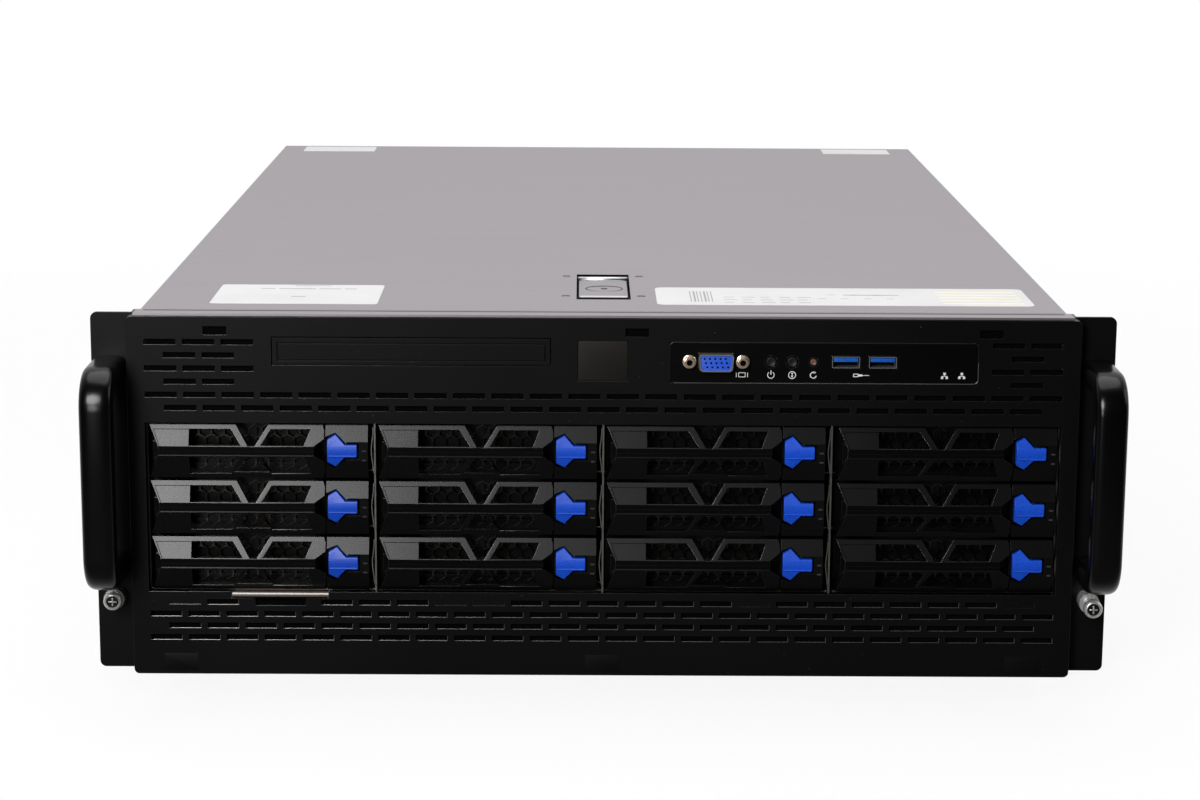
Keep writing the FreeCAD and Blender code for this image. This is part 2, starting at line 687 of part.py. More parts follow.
def build_screw(name, side, pulled):
    """Captive thumbscrew: a turned head, neck and shank in one revolved outline."""
    at = f"{side} * ({EAR_SPAN} / 2 - screw_inset)"
    tip = f"ear_setback - screw_grip - seat_gap - screw_lead - {pulled}"
    screw = body(name, at, tip, "screw_high")
    head, neck = "screw_lead", "(screw_head * 0.72)"
    half = outline(sketch(screw, f"{name}_half", "XY_Plane"), [
        (0, 0), ("screw_head", 0), ("screw_head", f"{head} * 0.8"), (neck, f"{head} * 0.8"), (neck, head),
        ("screw_shank", head), ("screw_shank", "screw_reach"), (0, "screw_reach")])
    turned = screw.newObject("PartDesign::Revolution", f"{name}_turned")
    turned.Profile = half
    turned.ReferenceAxis = (half, ["V_Axis"])
    turned.Angle = 360.0
    screw.Tip = turned
    slit = sketch(screw, f"{name}_cross", "XZ_Plane")
    arm, slim = "screw_head * 0.55", "0.5"
    outline(slit, [(f"-{slim}", f"-{arm}"), (slim, f"-{arm}"), (slim, f"-{slim}"), (arm, f"-{slim}"),
                   (arm, slim), (slim, slim), (slim, arm), (f"-{slim}", arm), (f"-{slim}", slim),
                   (f"-{arm}", slim), (f"-{arm}", f"-{slim}"), (f"-{slim}", f"-{slim}")])
    recess = screw.newObject("PartDesign::Pocket", f"{name}_recess")
    recess.Profile = slit
    bind(recess, Length="screw_lead * 0.3")
    screw.Tip = recess
    return screw


def lever_windows():
    """Outlines of the lever's windows and end cuts, as (along, down) from its upper left corner."""
    end, top = "lever_length", "lever_border"
    shapes = []
    for crease, mouth, lower in ((UPPER_CREASE, "-1", False), (LOWER_CREASE, "notch_bar", True)):
        foot = f"{crease} - window_lap"
        half = [
            [("window_start", top), ("window_end", top),
             ("window_end + window_rake", foot), ("window_start", foot)],
            [("notch_start", mouth), ("notch_end", mouth),
             ("notch_start + notch_rake + notch_floor", crease), ("notch_start + notch_rake", crease)],
            [("second_start", top), ("second_end", top),
             ("second_end - second_lean", foot), ("second_start - second_rake", foot)],
            [(f"{end} - corner_cut", "-1"), (f"{end} + 1", "-1"),
             (f"{end} + 1", "corner_drop"), (end, "corner_drop")]]
        if lower:
            half = [[(x, f"carrier_height - ({down})") for x, down in shape] for shape in half]
        shapes += half
    tail, middle = "lever_slant + 0.4", "carrier_height / 2 - ridge_rise"
    bottom = f"carrier_height - {LOWER_CREASE}"
    slant = [("-2", "-1"), ("0", "-1"), (tail, UPPER_CREASE), (tail, bottom),
             ("0", "carrier_height + 1"), ("-2", "carrier_height + 1")]
    grip = [(f"{end} + 1", f"{middle} - grip_half"), (end, f"{middle} - grip_half"),
            (f"{end} - grip_depth", UPPER_CREASE), (f"{end} - grip_depth", bottom),
            (end, f"{middle} + grip_half"), (f"{end} + 1", f"{middle} + grip_half")]
    return shapes + [slant, grip]


def build_lever():
    """Swing lever: a ridged plate with windows and cut ends, and a knuckle that its pin runs through."""
    plate = body("lever_plate", "carrier_left")
    near, far = "-ridge_front", "ridge_back"
    band_high, band_low = f"{MIDDLE} + band_half", f"{MIDDLE} - band_half"
    ridge = outline(sketch(plate, "lever_ridge", "YZ_Plane"), [
        (far, "carrier_low"), (f"{far} + lever_sheet", "carrier_low"),
        (f"{near} + lever_sheet", band_low), (f"{near} + lever_sheet", band_high),
        (f"{far} + lever_sheet", CARRIER_TOP), (far, CARRIER_TOP), (near, band_high), (near, band_low)])
    pad(plate, "lever_ridge_pad", ridge, "lever_length")
    windows = sketch(plate, "lever_windows", "XZ_Plane")
    for shape in lever_windows():
        outline(windows, [(x, f"{CARRIER_TOP} - ({down})") for x, down in shape])
    pocket(plate, "lever_pierced", windows)
    at = "carrier_left + pivot_along"
    knuckle = box("lever_knuckle", f"{at} - lug_half - 0.2", f"{near} + lever_sheet - 0.2",
                  f"{MIDDLE} - knuckle_half", "2 * lug_half + 1.2",
                  "pivot_back + lug_half + 0.4 + ridge_front - lever_sheet + 0.2", "2 * knuckle_half")
    bore = rod("lever_bore", at, "pivot_back", f"{MIDDLE} - knuckle_half - 1", "pivot_pin + pivot_clear",
               "2 * knuckle_half + 2", "z")
    return cut("lever_pattern", fuse("lever_joined", [plate, knuckle]), [bore])


def build_latch():
    """Push latch: an arrow-shaped button with the carrier's ridge on its face and a guide stem."""
    latch = body("latch_button", "carrier_left")
    shape = outline(sketch(latch, "latch_outline", "XZ_Plane"), latch_corners("0"))
    head = pad(latch, "latch_head", shape, "ridge_front")
    head.SideType = "Two sides"
    bind(head, Length2="latch_depth")
    slopes = sketch(latch, "latch_slopes", "YZ_Plane")
    for sign, edge in (("+", CARRIER_TOP), ("-", "carrier_low")):
        outline(slopes, [("-ridge_front", f"{MIDDLE} {sign} band_half"), ("ridge_back", edge),
                         ("-ridge_front - 3", edge), ("-ridge_front - 3", f"{MIDDLE} {sign} band_half")])
    pocket(latch, "latch_face", slopes)
    stem = outline(sketch(latch, "latch_stem_outline", "XZ_Plane"), stem_corners("0"))
    pad(latch, "latch_stem_pad", stem, "latch_depth + latch_stem", True)
    return group("latch_pattern", [latch])


def latch_corners(border):
    """The latch's outline, widened by a border."""
    rows = (("latch_start", "latch_root_half", "-1"), ("latch_peak", "latch_peak_half", "0"),
            ("latch_neck", "latch_tail_half", "0.5"), ("latch_end", "latch_tail_half", "1"))
    lower = [(f"{x} + ({side}) * {border}", f"{MIDDLE} - {half} - {border}") for x, half, side in rows]
    upper = [(f"{x} + ({side}) * {border}", f"{MIDDLE} + {half} + {border}") for x, half, side in rows]
    return lower + upper[::-1]


def stem_corners(border):
    """The latch's guide stem, widened by a border."""
    left, right = f"latch_peak - 1 - {border}", f"latch_end - 2 + {border}"
    low, high = f"{MIDDLE} - 2 - {border}", f"{MIDDLE} + 2 + {border}"
    return [(left, low), (right, low), (right, high), (left, high)]


def build_tray():
    """Carrier tray: front plate, side rails, lever lugs with their pin, and the ridged latch block."""
    width, begin = "carrier_width", "lever_length + lever_seam"
    block = body("tray_block", "carrier_left")
    face = sketch(block, "block_ridge", "YZ_Plane")
    outline(face, [("ridge_back", "carrier_low"), ("tray_front + tray_sheet", "carrier_low"),
                   ("tray_front + tray_sheet", CARRIER_TOP), ("ridge_back", CARRIER_TOP),
                   ("-ridge_front", f"{MIDDLE} + band_half"), ("-ridge_front", f"{MIDDLE} - band_half")])
    pad(block, "block_pad", face, width)
    front = sketch(block, "block_front", "YZ_Plane")
    outline(front, [("-ridge_front - 5", "-5"), ("tray_front", "-5"),
                    ("tray_front", "cell_height + 5"), ("-ridge_front - 5", "cell_height + 5")])
    room = block.newObject("PartDesign::Pocket", "block_lever_room")
    room.Profile = front
    room.Reversed = True
    bind(room, Length=begin)
    block.Tip = room
    corners = latch_corners("latch_border")
    corners[0] = (f"{begin} - 1", corners[0][1])
    corners[-1] = (f"{begin} - 1", corners[-1][1])
    seat = sketch(block, "latch_seat", "XZ_Plane")
    outline(seat, corners)
    recess = block.newObject("PartDesign::Pocket", "latch_recess")
    recess.Profile = seat
    recess.SideType = "Two sides"
    bind(recess, Length="latch_depth + latch_travel + 0.3", Length2="10")
    block.Tip = recess
    pocket(block, "stem_guide", outline(sketch(block, "stem_hole", "XZ_Plane"), stem_corners("0.3")))
    vents = sketch(block, "tray_vents", "XZ_Plane")
    for left, right in (("window_start - 3", "notch_start + 5"), ("notch_end - 7", "second_end + 2")):
        outline(vents, [(left, f"{MIDDLE} - vent_half"), (right, f"{MIDDLE} - vent_half"),
                        (right, f"{MIDDLE} + vent_half"), (left, f"{MIDDLE} + vent_half")])
    pocket(block, "tray_vented", vents)
    rail_long = f"{DRIVE_FRONT} + drive_length - tray_front - 0.5"
    rails = [box(f"tray_rail_{side}", x, "tray_front + 0.5", "carrier_low + rail_lift", "rail_sheet",
                 rail_long, "rail_height")
             for side, x in (("left", "carrier_left"), ("right", f"carrier_left + {width} - rail_sheet"))]
    at = "(carrier_left + pivot_along)"
    gap = "seat_gap"
    lugs = [box(f"tray_lug_{side}", f"{at} - lug_half", "pivot_back - lug_half", z, "2 * lug_half",
                "tray_front + 0.5 - pivot_back + lug_half", "lug_sheet")
            for side, z in (("high", f"{MIDDLE} + knuckle_half + {gap}"),
                            ("low", f"{MIDDLE} - knuckle_half - {gap} - lug_sheet"))]
    pin = rod("tray_pin", at, "pivot_back", f"{MIDDLE} - knuckle_half - {gap} - lug_sheet / 2", "pivot_pin",
              f"2 * (knuckle_half + {gap}) + lug_sheet", "z")
    drive = box("tray_drive", "carrier_left + rail_sheet + 0.1", DRIVE_FRONT, "carrier_low + 0.3",
                f"{width} - 2 * rail_sheet - 0.2", "drive_length", "drive_height")
    flat = box("block_flat_cutter", "carrier_left + latch_neck + latch_border", "-ridge_front - 1",
               "carrier_low - 1", f"{width} - latch_neck", "block_flat + 1", "carrier_height + 2")
    frame = fuse("tray_frame", [cut("block_flattened", block, [flat])] + rails + lugs + [pin])
    return group("tray_pattern", [frame, drive])


def cell_corner(column, row):
    """The lower left corner of a carrier's cell; the first row is the top one."""
    return f"(-{BAY_WIDTH} / 2 + {column} * cell_width)", f"(bay_bottom + {ROWS - 1 - row} * cell_height)"


def carrier_shift(column):
    """How far a column's carriers sit to the right of their usual place: only the last one's do."""
    return "column_shift" if column == COLUMNS - 1 else "0"


def build_cage():
    """Sheet cage: two side walls, dividers, deck and roof, tray ledges and the tag's guides."""
    half = "cage_sheet / 2"
    behind = "(bezel_depth + 0.6)"
    pieces = []
    for c in range(COLUMNS + 1):
        outer = c in (0, COLUMNS)
        start = behind if outer else "cage_front"
        low = "case_wall + seat_gap" if outer else "bay_bottom - 0.5"
        x = f"-{BAY_WIDTH} / 2 + {c} * cell_width - {half}"
        pieces.append(box(f"cage_wall_{c}", x, start, low, "cage_sheet", f"{CAGE_END} - {start}",
                          f"{BAY_TOP} + 0.5 - ({low})"))
    for name, z in (("deck", "bay_bottom - 1"), ("roof", f"{BAY_TOP} + 0.1")):
        pieces.append(box(f"cage_{name}", f"-{BAY_WIDTH} / 2", behind, z, BAY_WIDTH,
                          f"{CAGE_END} - {behind}", "0.9"))
    ledge_start = "(tray_front + tray_sheet + 2)"
    for c in range(COLUMNS):
        for r in range(ROWS):
            x, z = cell_corner(c, r)
            level = f"{z} + carrier_low + rail_lift - seat_gap - cage_sheet"
            near = f"{x} + {half} - 0.1"
            shift = carrier_shift(c)
            far = f"{x} + {shift} + carrier_left + carrier_width - rail_sheet + 0.2"
            for side, left, wide in (("near", near, f"{shift} + carrier_left + rail_sheet - {half}"),
                                     ("far", far, f"{x} + cell_width - {half} + 0.1 - ({far})")):
                pieces.append(box(f"ledge_{c}_{r}_{side}", left, ledge_start, level, wide,
                                  f"{CAGE_END} - {ledge_start}", "cage_sheet"))
    guide_low = "bay_bottom - 1.2 - tag_sheet - seat_gap"
    for side, x, foot in (("left", "tag_left - 0.4 - cage_sheet", "tag_left - 0.4 - cage_sheet"),
                          ("right", "tag_left + tag_width + 0.4", "tag_left + tag_width - 3")):
        pieces.append(box(f"tag_guide_{side}", x, behind, f"{guide_low} - cage_sheet", "cage_sheet",
                          "tag_length - 8", f"bay_bottom - 0.5 - ({guide_low} - cage_sheet)"))
        pieces.append(box(f"tag_foot_{side}", foot, behind, f"{guide_low} - cage_sheet", "3.4 + cage_sheet",
                          "tag_length - 8", "cage_sheet"))
    return fuse("drive_cage", pieces)


def build_backplane():
    """Circuit board behind the cage with one plug for each drive."""
    front = f"({CAGE_END} + seat_gap)"
    solids = [box("backplane_board", f"-{BAY_WIDTH} / 2 + 2", front, "bay_bottom + 1", f"{BAY_WIDTH} - 4",
                  "board_sheet", f"{BAY_TOP} - bay_bottom - 2")]
    for c in range(COLUMNS):
        for r in range(ROWS):
            x, z = cell_corner(c, r)
            left = f"{x} + {carrier_shift(c)} + 22"
            solids.append(box(f"drive_plug_{c}_{r}", left, f"{front} - plug_length", f"{z} + 5", "42",
                              "plug_length", "8"))
    return group("drive_backplane", solids)


def build_panel():
    """Control panel plate with holes for the sockets and the buttons."""
    plate = box("panel_plate", "panel_left", "0.2", f"{CASE_HEIGHT} - panel_drop - panel_height",
                "panel_width", "panel_sheet", "panel_height")
    smooth = rounded("panel_rounded", plate, "panel_corner",
                     lambda edge: edge.Length < value("panel_sheet") + 0.1)
    gap = "button_gap"
    holes = [box("display_hole", f"display_along - display_width / 2 - {gap}", "-5",
                 f"{PORT_HIGH} - display_height / 2 - {gap}", f"display_width + 2 * {gap}", "20",
                 f"display_height + 2 * {gap}")]
    for k in range(2):
        along = f"display_along + {2 * k - 1} * jack_spread / 2"
        holes.append(prism(f"jack_hole_{k}", along, "-5", PORT_HIGH, f"jack_radius + {gap}", "20"))
        holes.append(box(f"socket_hole_{k}", f"socket_first + {k} * socket_spread - socket_width / 2 - {gap}",
                         "-5", f"{PORT_HIGH} - socket_height / 2 - {gap}", f"socket_width + 2 * {gap}", "20",
                         f"socket_height + 2 * {gap}"))
        holes.append(rod(f"button_hole_{k}", f"button_first + {k} * button_spread", "-5", PORT_HIGH,
                         f"button_radius + {gap}", "20"))
    holes.append(rod("reset_hole", "button_first + 2 * button_spread", "-5", PORT_HIGH,
                     f"reset_radius + {gap}", "20"))
    return cut("control_panel", smooth, holes)


def build_ports():
    """Small board with the display socket, two USB sockets and the switches behind the buttons."""
    deep = "port_depth"
    solids = [box("port_board", "panel_left + 4", deep, f"{PORT_HIGH} - 8.5", "panel_width - 8",
                  "board_sheet", "17")]
    seat = "(0.2 + panel_sheet + seat_gap)"
    display = [box("display_block", "display_along - jack_spread / 2 - 3", seat, f"{PORT_HIGH} - 6.2",
                   "jack_spread + 6", f"{deep} - {seat}", "12.4"),
               box("display_shell", "display_along - display_width / 2", "-3.6",
                   f"{PORT_HIGH} - display_height / 2", "display_width", f"{seat} + 4", "display_height")]
    for k in range(2):
        display.append(prism(f"jack_{k}", f"display_along + {2 * k - 1} * jack_spread / 2", "-4.5", PORT_HIGH,
                             "jack_radius", f"{seat} + 5"))
    solids.append(fuse("display_socket", display))
    for k in range(2):
        middle = f"socket_first + {k} * socket_spread"
        shell = box(f"socket_shell_{k}", f"{middle} - socket_width / 2", "-0.3",
                    f"{PORT_HIGH} - socket_height / 2", "socket_width", f"{deep} + 0.3", "socket_height")
        room = box(f"socket_room_{k}", f"{middle} - socket_width / 2 + socket_wall", "-1",
                   f"{PORT_HIGH} - socket_height / 2 + socket_wall", "socket_width - 2 * socket_wall", "10",
                   "socket_height - 2 * socket_wall")
        tongue = box(f"socket_tongue_{k}", f"{middle} - socket_width / 2 + 1.4", "0.6", f"{PORT_HIGH} - 0.2",
                     "socket_width - 2.8", "9", "1.9")
        solids.append(fuse(f"socket_{k}", [cut(f"socket_open_{k}", shell, [room]), tongue]))
    for k in range(3):
        solids.append(box(f"switch_{k}", f"button_first + {k} * button_spread - 3", f"{deep} - 4",
                          f"{PORT_HIGH} - 3", "6", "4", "6"))
    return group("front_ports", solids)


def build_button(name, order, radius):
    """Round push button in the control panel."""
    return group(name, [rod(f"{name}_cap", f"button_first + {order} * button_spread", "-0.5", PORT_HIGH,
                            radius, "button_length")])


def build_optical():
    """Blank of the optical drive bay with a shallow frame on its face."""
    low = f"{CASE_HEIGHT} - optical_drop - optical_height"
    plate = box("optical_plate", "optical_left", "-0.4", low, "optical_width", "8.4", "optical_height")
    groove = cut("optical_frame", box("optical_outer", "optical_left + 2.3", "-1", f"{low} + 1.8",
                                      "optical_width - 4.4", "1", "optical_height - 4.2"),
                 [box("optical_inner", "optical_left + 2.8", "-2", f"{low} + 2.3", "optical_width - 5.4", "5",
                      "optical_height - 5.2")])
    return cut("optical_bay_cover", plate, [groove])


def build_tag():
    """Information tag: a thin sliding plate with a deeper front lip."""
    top = "bay_bottom - 1.2"
    plate = box("tag_plate", "tag_left", "-0.5", f"{top} - tag_sheet", "tag_width", "tag_length", "tag_sheet")
    lip = box("tag_front", "tag_left", "-1", "bay_bottom - 0.1 - tag_drop - tag_lip", "tag_width", "2.4",
              "tag_lip")
    return fuse("info_tag", [plate, lip])


def fan_axis(k):
    """The place of a fan's axis along X and Z."""
    return f"({k - 1} * fan_spread)", "(case_wall + fan_lift + fan_size / 2)"


def build_fan_frames():
    """Fan wall: a pierced bracket and three square frames with struts, motor base and shaft."""
    room = f"({CASE_WIDTH} / 2 - case_wall - 0.5)"
    sheet_front = f"{FAN_FRONT} - case_wall"
    bores = [prism(f"bracket_bore_{k}", fan_axis(k)[0], f"{FAN_FRONT} - 20", fan_axis(k)[1],
                   "fan_bore / cos(22.5)", "40", 8, 22.5) for k in range(3)]
    solids = [cut("fan_bracket", box("bracket_plate", f"-{room}", sheet_front, "case_wall + seat_gap",
                                     f"2 * {room}", "case_wall", "fan_size + 2 * fan_lift"), bores)]
    for k in range(3):
        x, z = fan_axis(k)
        square = box(f"fan_square_{k}", f"{x} - fan_size / 2", FAN_FRONT, f"{z} - fan_size / 2", "fan_size",
                     "fan_depth", "fan_size")
        bore = rod(f"fan_bore_{k}", x, f"{FAN_FRONT} - 5", z, "fan_bore", "fan_depth + 10")
        ring = cut(f"fan_ring_{k}", square, [bore])
        base, reach = f"{FAN_FRONT} + fan_depth - fan_base", "2 * fan_bore + 1.2"
        arms = [box(f"fan_arm_x_{k}", f"{x} - fan_bore - 0.6", base, f"{z} - 2", reach, "fan_base", "4"),
                box(f"fan_arm_z_{k}", f"{x} - 2", base, f"{z} - fan_bore - 0.6", "4", "fan_base", reach),
                rod(f"fan_seat_{k}", x, base, z, "fan_hub", "fan_base"),
                rod(f"fan_axle_{k}", x, f"{base} - 22", z, "fan_shaft", "23")]
        solids.append(fuse(f"fan_frame_{k}", [ring] + arms))
    return group("fan_frames", solids)


def build_rotor(k):
    """Fan rotor: a bored hub with pitched blades in a polar pattern."""
    x, z = fan_axis(k)
    rotor = body(f"rotor_{k}", x, f"{FAN_FRONT} + 6", z)
    long = "(fan_depth - fan_base - 6 - seat_gap)"
    hub = circle(sketch(rotor, f"hub_edge_{k}", "XZ_Plane"), 0, 0, "fan_hub")
    pad(rotor, f"rotor_hub_{k}", hub, long, True)
    rise, chord = "blade_rise / 2", "blade_chord / 2"
    edge = outline(sketch(rotor, f"blade_edge_{k}", "YZ_Plane"), [
        (f"{long} / 2 - {rise}", f"-{chord}"), (f"{long} / 2 - {rise} + blade_sheet", f"-{chord}"),
        (f"{long} / 2 + {rise}", chord), (f"{long} / 2 + {rise} - blade_sheet", chord)])
    blade = pad(rotor, f"blade_{k}", edge, "(blade_tip ^ 2 - blade_chord ^ 2 / 4) ^ 0.5")
    ring = rotor.newObject("PartDesign::PolarPattern", f"blades_{k}")
    ring.Originals = [blade]
    ring.Axis = (next(item for item in rotor.Origin.OriginFeatures if item.Role == "Y_Axis"), [""])
    ring.Angle = 360.0
    bind(ring, Occurrences="blade_count")
    rotor.Tip = ring
    bore = circle(sketch(rotor, f"bore_edge_{k}", "XZ_Plane"), 0, 0, "fan_shaft + fan_clear")
    pocket(rotor, f"rotor_bore_{k}", bore)
    return group(f"fan_rotor_{k + 1}", [rotor])


def build_mainboard():
    """Mainboard on posts with two finned coolers, memory modules and the block of rear ports."""
    front = f"({REAR_INSIDE} - main_rear_gap - main_depth)"
    board = [box("main_plate", "main_left", front, "case_wall + main_lift", "main_width", "main_depth",
                 "board_sheet")]
    across, along = "(main_width - 2 * post_inset) / 2", "(main_depth - 2 * post_inset) / 2"
    for i in range(3):
        for j in range(3):
            post = bind(doc.addObject("Part::Prism", f"main_post_{i}_{j}"), Circumradius="post_radius",
                        Height="main_lift + lap")
            board.append(place(post, f"main_left + post_inset + {i} * {across}",
                               f"{front} + post_inset + {j} * {along}", "case_wall"))
    solids = [fuse("main_board", board)]
    fins = int(value("cooler_size") / value("cooler_pitch"))
    begin = f"({front} + cooler_setback)"
    for i in range(2):
        middle = f"(main_left + cooler_first + {i} * cooler_spread)"
        corner = f"{middle} - cooler_size / 2"
        parts = [box(f"cooler_base_{i}", corner, begin, MAIN_TOP, "cooler_size", "cooler_size",
                     "cooler_base")]
        for k in range(fins):
            parts.append(box(f"cooler_fin_{i}_{k}", f"{corner} + 2 + {k} * cooler_pitch", begin,
                             f"{MAIN_TOP} + cooler_base - lap", "cooler_fin", "cooler_size",
                             "cooler_height - cooler_base + lap"))
        solids.append(fuse(f"cooler_{i}", parts))
        for k in range(2):
            for side, sign, extra in (("left", "-", "module_sheet"), ("right", "+", "0")):
                shift = f"(cooler_size / 2 + module_clear + {extra} + {k} * module_pitch)"
                solids.append(box(f"module_{i}_{k}_{side}", f"{middle} {sign} {shift}",
                                  f"{begin} + cooler_size / 2 - module_length / 2", MAIN_TOP, "module_sheet",
                                  "module_length", "module_height"))
    solids.append(box("rear_port_block", "main_left + port_inset", f"{REAR_INSIDE} + 3 - port_length",
                      MAIN_TOP, "shield_width - port_inset", "port_length", "port_height"))
    return group("mainboard", solids)


def build_supply(name, upper):
    """Pull-out power supply with a rounded grip at its rear end."""
    level = "case_wall + supply_gap"
    if upper:
        level += " + supply_height + 2 * supply_gap + case_wall"
    block = box(f"{name}_block", "supply_left", "case_depth + 1 - supply_length", level, "supply_width",
                "supply_length", "supply_height")
    grip = box(f"{name}_grip", "supply_left + supply_width / 2 - grip_sheet / 2", "case_depth + 0.5",
               f"{level} + supply_height / 2 - grip_height / 2", "grip_sheet", "grip_reach - 0.5",
               "grip_height")
    end = value(f"{FRONT} + case_depth + grip_reach") - 0.1
    smooth = rounded(f"{name}_grip_rounded", grip, "grip_sheet * 1.5", lambda edge: (
        edge.CenterOfMass.y > end and edge.Length < value("grip_sheet") + 0.1))
    return fuse(name, [block, smooth])


def carrier_copies(kind, pattern):
    """One placed copy of a carrier's piece for every cell."""
    copies = []
    for c in range(COLUMNS):
        for r in range(ROWS):
            x, z = cell_corner(c, r)
            copy = doc.addObject("App::Link", f"drive_{kind}_{c + 1}{r + 1}")
            copy.LinkedObject = pattern
            copy.setExpression("Placement.Base.x", bound(f"{x} + {carrier_shift(c)}"))
            copy.setExpression("Placement.Base.z", bound(z))
            copies.append(copy)
    return copies


parts = [
    build_chassis(), build_cover(), group("cover_latch", [build_flap()]), build_bezel(), build_ears(),
    build_handles(), group("thumbscrew_left", [build_screw("screw_left", -1, 0)]),
    group("thumbscrew_right", [build_screw("screw_right", 1, "screw_pulled")]),
    build_cage(), build_backplane(), build_panel(), build_ports(),
    build_button("power_button", 0, "button_radius"), build_button("id_button", 1, "button_radius"),
    build_button("reset_button", 2, "reset_radius"), build_optical(), build_tag(), build_fan_frames(),
    build_rotor(0), build_rotor(1), build_rotor(2), build_mainboard(),
    build_supply("power_supply_1", False), build_supply("power_supply_2", True),
]
parts += carrier_copies("tray", build_tray())
parts += carrier_copies("lever", build_lever())
parts += carrier_copies("latch", build_latch())

doc.recompute()
for thing in doc.Objects:
    if {"Invalid", "Error"} & set(thing.State):
        raise RuntimeError(f"{thing.Name} is in state {thing.State}")
os.makedirs("parts", exist_ok=True)
for piece in parts:
    solid = Part.getShape(piece)
    if solid.isNull() or not solid.isValid() or not solid.Solids:
        raise RuntimeError(f"{piece.Label} has no valid solid")
    solid.exportStep(f"parts/{piece.Label}.step")
print(f"{len(parts)} sub-parts written")
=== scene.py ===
import json
import math

import bmesh
import bpy
import numpy as np
from bpy.props import FloatProperty, FloatVectorProperty, IntProperty, PointerProperty
from mathutils import Matrix, Vector

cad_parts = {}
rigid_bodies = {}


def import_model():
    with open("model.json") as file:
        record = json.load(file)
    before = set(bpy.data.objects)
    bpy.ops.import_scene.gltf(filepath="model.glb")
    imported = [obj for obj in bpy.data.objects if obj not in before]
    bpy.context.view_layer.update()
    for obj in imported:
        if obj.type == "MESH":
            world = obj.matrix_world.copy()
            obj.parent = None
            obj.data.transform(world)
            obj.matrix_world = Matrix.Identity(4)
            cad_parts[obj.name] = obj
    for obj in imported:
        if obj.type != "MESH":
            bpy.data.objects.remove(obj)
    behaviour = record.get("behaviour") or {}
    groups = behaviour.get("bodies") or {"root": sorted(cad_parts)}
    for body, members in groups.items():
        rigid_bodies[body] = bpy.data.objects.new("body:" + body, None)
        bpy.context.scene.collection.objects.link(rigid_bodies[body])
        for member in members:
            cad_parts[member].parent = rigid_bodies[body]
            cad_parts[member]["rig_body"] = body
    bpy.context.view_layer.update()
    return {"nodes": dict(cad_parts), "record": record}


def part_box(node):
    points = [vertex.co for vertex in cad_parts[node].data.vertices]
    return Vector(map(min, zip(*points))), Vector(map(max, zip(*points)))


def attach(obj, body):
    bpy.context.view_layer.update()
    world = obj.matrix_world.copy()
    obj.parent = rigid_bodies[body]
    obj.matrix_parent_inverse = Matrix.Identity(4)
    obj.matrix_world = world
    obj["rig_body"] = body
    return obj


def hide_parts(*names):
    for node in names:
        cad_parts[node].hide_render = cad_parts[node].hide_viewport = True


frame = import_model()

bl_info = {
    "name": "Rack server dresser",
    "version": (1, 0, 0),
    "blender": (4, 5, 0),
    "location": "View3D > Sidebar > Server",
    "description": "Dresses the solids of a rack server with finished pieces and materials",
    "category": "Object",
}

MM = 0.001
COLUMNS, ROWS = 4, 3
AXES = {"x": np.array([1.0, 0, 0]), "y": np.array([0, 1.0, 0]), "z": np.array([0, 0, 1.0])}


def span(node):
    """Lowest and highest corner of a solid in millimetres."""
    low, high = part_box(node)
    return np.array(low) / MM, np.array(high) / MM


# Numbers that join the points of a surface into faces

def grid_faces(rows, columns, ring=False, loop=False):
    """Quads between neighbours of a grid; ring joins its last column to its first, loop its last row."""
    i, j = np.meshgrid(np.arange(rows - (not loop)), np.arange(columns - (not ring)), indexing="ij")
    below, beside = (i + 1) % rows, (j + 1) % columns
    corners = [i * columns + j, i * columns + beside, below * columns + beside, below * columns + j]
    return np.stack(corners, -1).reshape(-1, 4)


class Shell:
    """Surfaces of one piece as whole arrays: points in millimetres, and faces as rows of point numbers."""

    def __init__(self):
        self.points, self.faces, self.finish, self.count = [], [], [], 0

    def add(self, surface, finish=0):
        """Takes a surface's points and its blocks of faces, which all get one finish number."""
        points, blocks = surface
        spots = np.asarray(points, float).reshape(-1, 3)
        for block in blocks:
            self.faces.append(np.asarray(block) + self.count)
            self.finish.append(np.full(len(block), finish))
        self.points.append(spots)
        self.count += len(spots)
        return self

    def standing(self, outline, back, front, finish=0, soft=0.0):
        """Adds a plate whose outline lies in x and z, between two depths."""
        return self.add(plate(outline, "xzy", back, front, soft), finish)

    def lying(self, outline, low, high, finish=0, soft=0.0):
        """Adds a plate whose outline lies in x and y, between two heights."""
        return self.add(plate(outline, "xyz", low, high, soft), finish)

    def framing(self, outer, inner, back, front, finish=0):
        """Adds a frame between two outlines in x and z, between two depths."""
        return self.add(hoop(outer, inner, "xzy", back, front), finish)

    def mesh(self, name):
        """The gathered surfaces as one mesh in metres, with every closed part facing outwards."""
        data = bpy.data.meshes.new(name)
        points = np.concatenate(self.points) * MM
        corners = np.concatenate([block.ravel() for block in self.faces]).astype(np.int32)
        sizes = np.concatenate([np.full(len(block), block.shape[1]) for block in self.faces])
        starts = np.concatenate([[0], np.cumsum(sizes)[:-1]]).astype(np.int32)
        data.vertices.add(len(points))
        data.vertices.foreach_set("co", points.ravel().astype(np.float32))
        data.loops.add(len(corners))
        data.loops.foreach_set("vertex_index", corners)
        data.polygons.add(len(starts))
        data.polygons.foreach_set("loop_start", starts)
        data.polygons.foreach_set("material_index", np.concatenate(self.finish).astype(np.int32))
        data.update(calc_edges=True)
        work = bmesh.new()
        work.from_mesh(data)
        bmesh.ops.recalc_face_normals(work, faces=work.faces)
        work.to_mesh(data)
        work.free()
        return data


# Outlines: closed rows of points in a plane

def rectangle(left, right, low, high):
    """Four corners, counted from the low left one."""
    return np.array([(left, low), (right, low), (right, high), (left, high)], float)


def circle(x, z, radius, angle):
    """Points at angles round a centre: the centre plus the radius times cosine and sine."""
    return np.stack([x + radius * np.cos(angle), z + radius * np.sin(angle)], -1)


